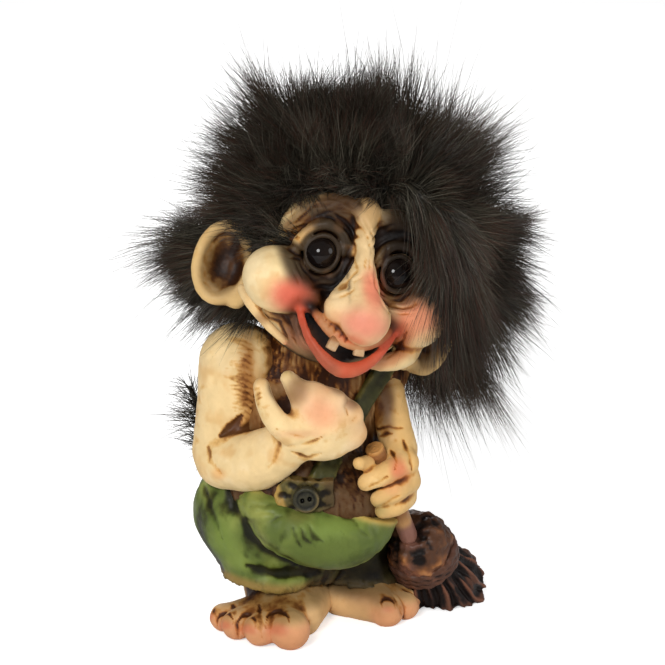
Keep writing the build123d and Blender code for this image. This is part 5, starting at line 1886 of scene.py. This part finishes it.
def tail_brush():
    clay = Clay([rope(BODY, BRUSH, 2.2)], 0.4).add(rope(BODY, BRUSH, BRUSH_SIZES), blend=0.5)
    pelt = Skin("tail_brush_pelt", clay, BODY)
    flow = unit(unit(np.array([(-9.0, -6, 21)])) + 1.1 * pelt.normals())
    pile = np.interp(pelt.own[:, 2], (42, 50, 66), (11, 13, 11))
    even = np.ones(len(pile))
    skin = (pelt.points, pelt.quads)
    grow("tail_brush_fur", "tail_brush", skin, flow, pile, even, 420, Wisp=0.006, Stray=0.4)
    lay_pelt(pelt, "tail_brush")


hair_of_the_head()
hair_fringe()
tail_brush()

# Studio

FLOOR_HALF = 3.0
FLOOR_COLOUR = (0.9, 0.9, 0.9, 1)
FLOOR_GLOW = (0.55, 0.55, 0.55, 1)
SKY_LEVEL = 0.31
# Each lamp's spot and what it points at, in metres, its size and its power
LAMPS = {
    "key_lamp": ((-0.55, -0.75, 0.60), (0, 0, 0.09), 0.35, 7.4),
    "fill_lamp": ((0.70, -0.60, 0.35), (0, 0, 0.09), 0.5, 2.2),
    "back_lamp": ((0.1, 0.8, 0.6), (0, 0, 0.12), 0.4, 3.0),
}


def placed(name, data):
    made = bpy.data.objects.new(name, data)
    bpy.context.scene.collection.objects.link(made)
    return made


def stage_floor():
    """A pale floor that shows white to the camera and keeps the figure's shadow."""
    mesh = bpy.data.meshes.new("studio_floor")
    corners = [(FLOOR_HALF * x, FLOOR_HALF * y, 0) for x, y in ((-1, -1), (1, -1), (1, 1), (-1, 1))]
    mesh.from_pydata(corners, [], [(0, 1, 2, 3)])
    paint = Paint("studio_floor")
    paint.finish(FLOOR_COLOUR, 0.9, Specular_IOR_Level=0.0)
    seen_by_camera = paint.node("ShaderNodeLightPath").outputs["Is Camera Ray"]
    glow = paint.node("ShaderNodeEmission", {"Strength": seen_by_camera, "Color": FLOOR_GLOW})
    total = paint.node("ShaderNodeAddShader")
    paint.put(total.inputs[0], paint.shader.outputs[0])
    paint.put(total.inputs[1], glow.outputs[0])
    paint.put(paint.nodes["Material Output"].inputs["Surface"], total.outputs[0])
    mesh.materials.append(paint.material)
    placed("studio_floor", mesh)


def studio_world():
    """Even pale light from all round, and plain white behind the figure."""
    world = bpy.data.worlds.new("studio")
    bpy.context.scene.world = world
    world.use_nodes = True
    sky = Nodes(world.node_tree)
    seen_by_camera = sky.node("ShaderNodeLightPath").outputs["Is Camera Ray"]
    level = sky.node("ShaderNodeMapRange", {"Value": seen_by_camera, "To Min": SKY_LEVEL, "To Max": 1.0})
    background = sky.nodes["Background"]
    background.inputs["Color"].default_value = (1, 1, 1, 1)
    sky.put(background.inputs["Strength"], level.outputs["Result"])


def studio_lamps():
    for name, (spot, aim, size, power) in LAMPS.items():
        data = bpy.data.lights.new(name, "AREA")
        data.shape = "DISK"
        data.size = size
        data.energy = power
        lamp = placed(name, data)
        lamp.location = spot
        lamp.rotation_euler = (Vector(aim) - Vector(spot)).to_track_quat("-Z", "Y").to_euler()


def studio_camera():
    data = bpy.data.cameras.new("camera")
    data.sensor_width = SENSOR
    data.lens = CAMERA_LENS
    data.clip_start = 0.01
    camera = placed("camera", data)
    camera.location = CAMERA.origin * MM
    camera.rotation_euler = Vector(-camera_back).to_track_quat("-Z", "Y").to_euler()
    bpy.context.scene.camera = camera


stage_floor()
studio_world()
studio_lamps()
studio_camera()
bpy.context.scene.view_settings.view_transform = "Standard"
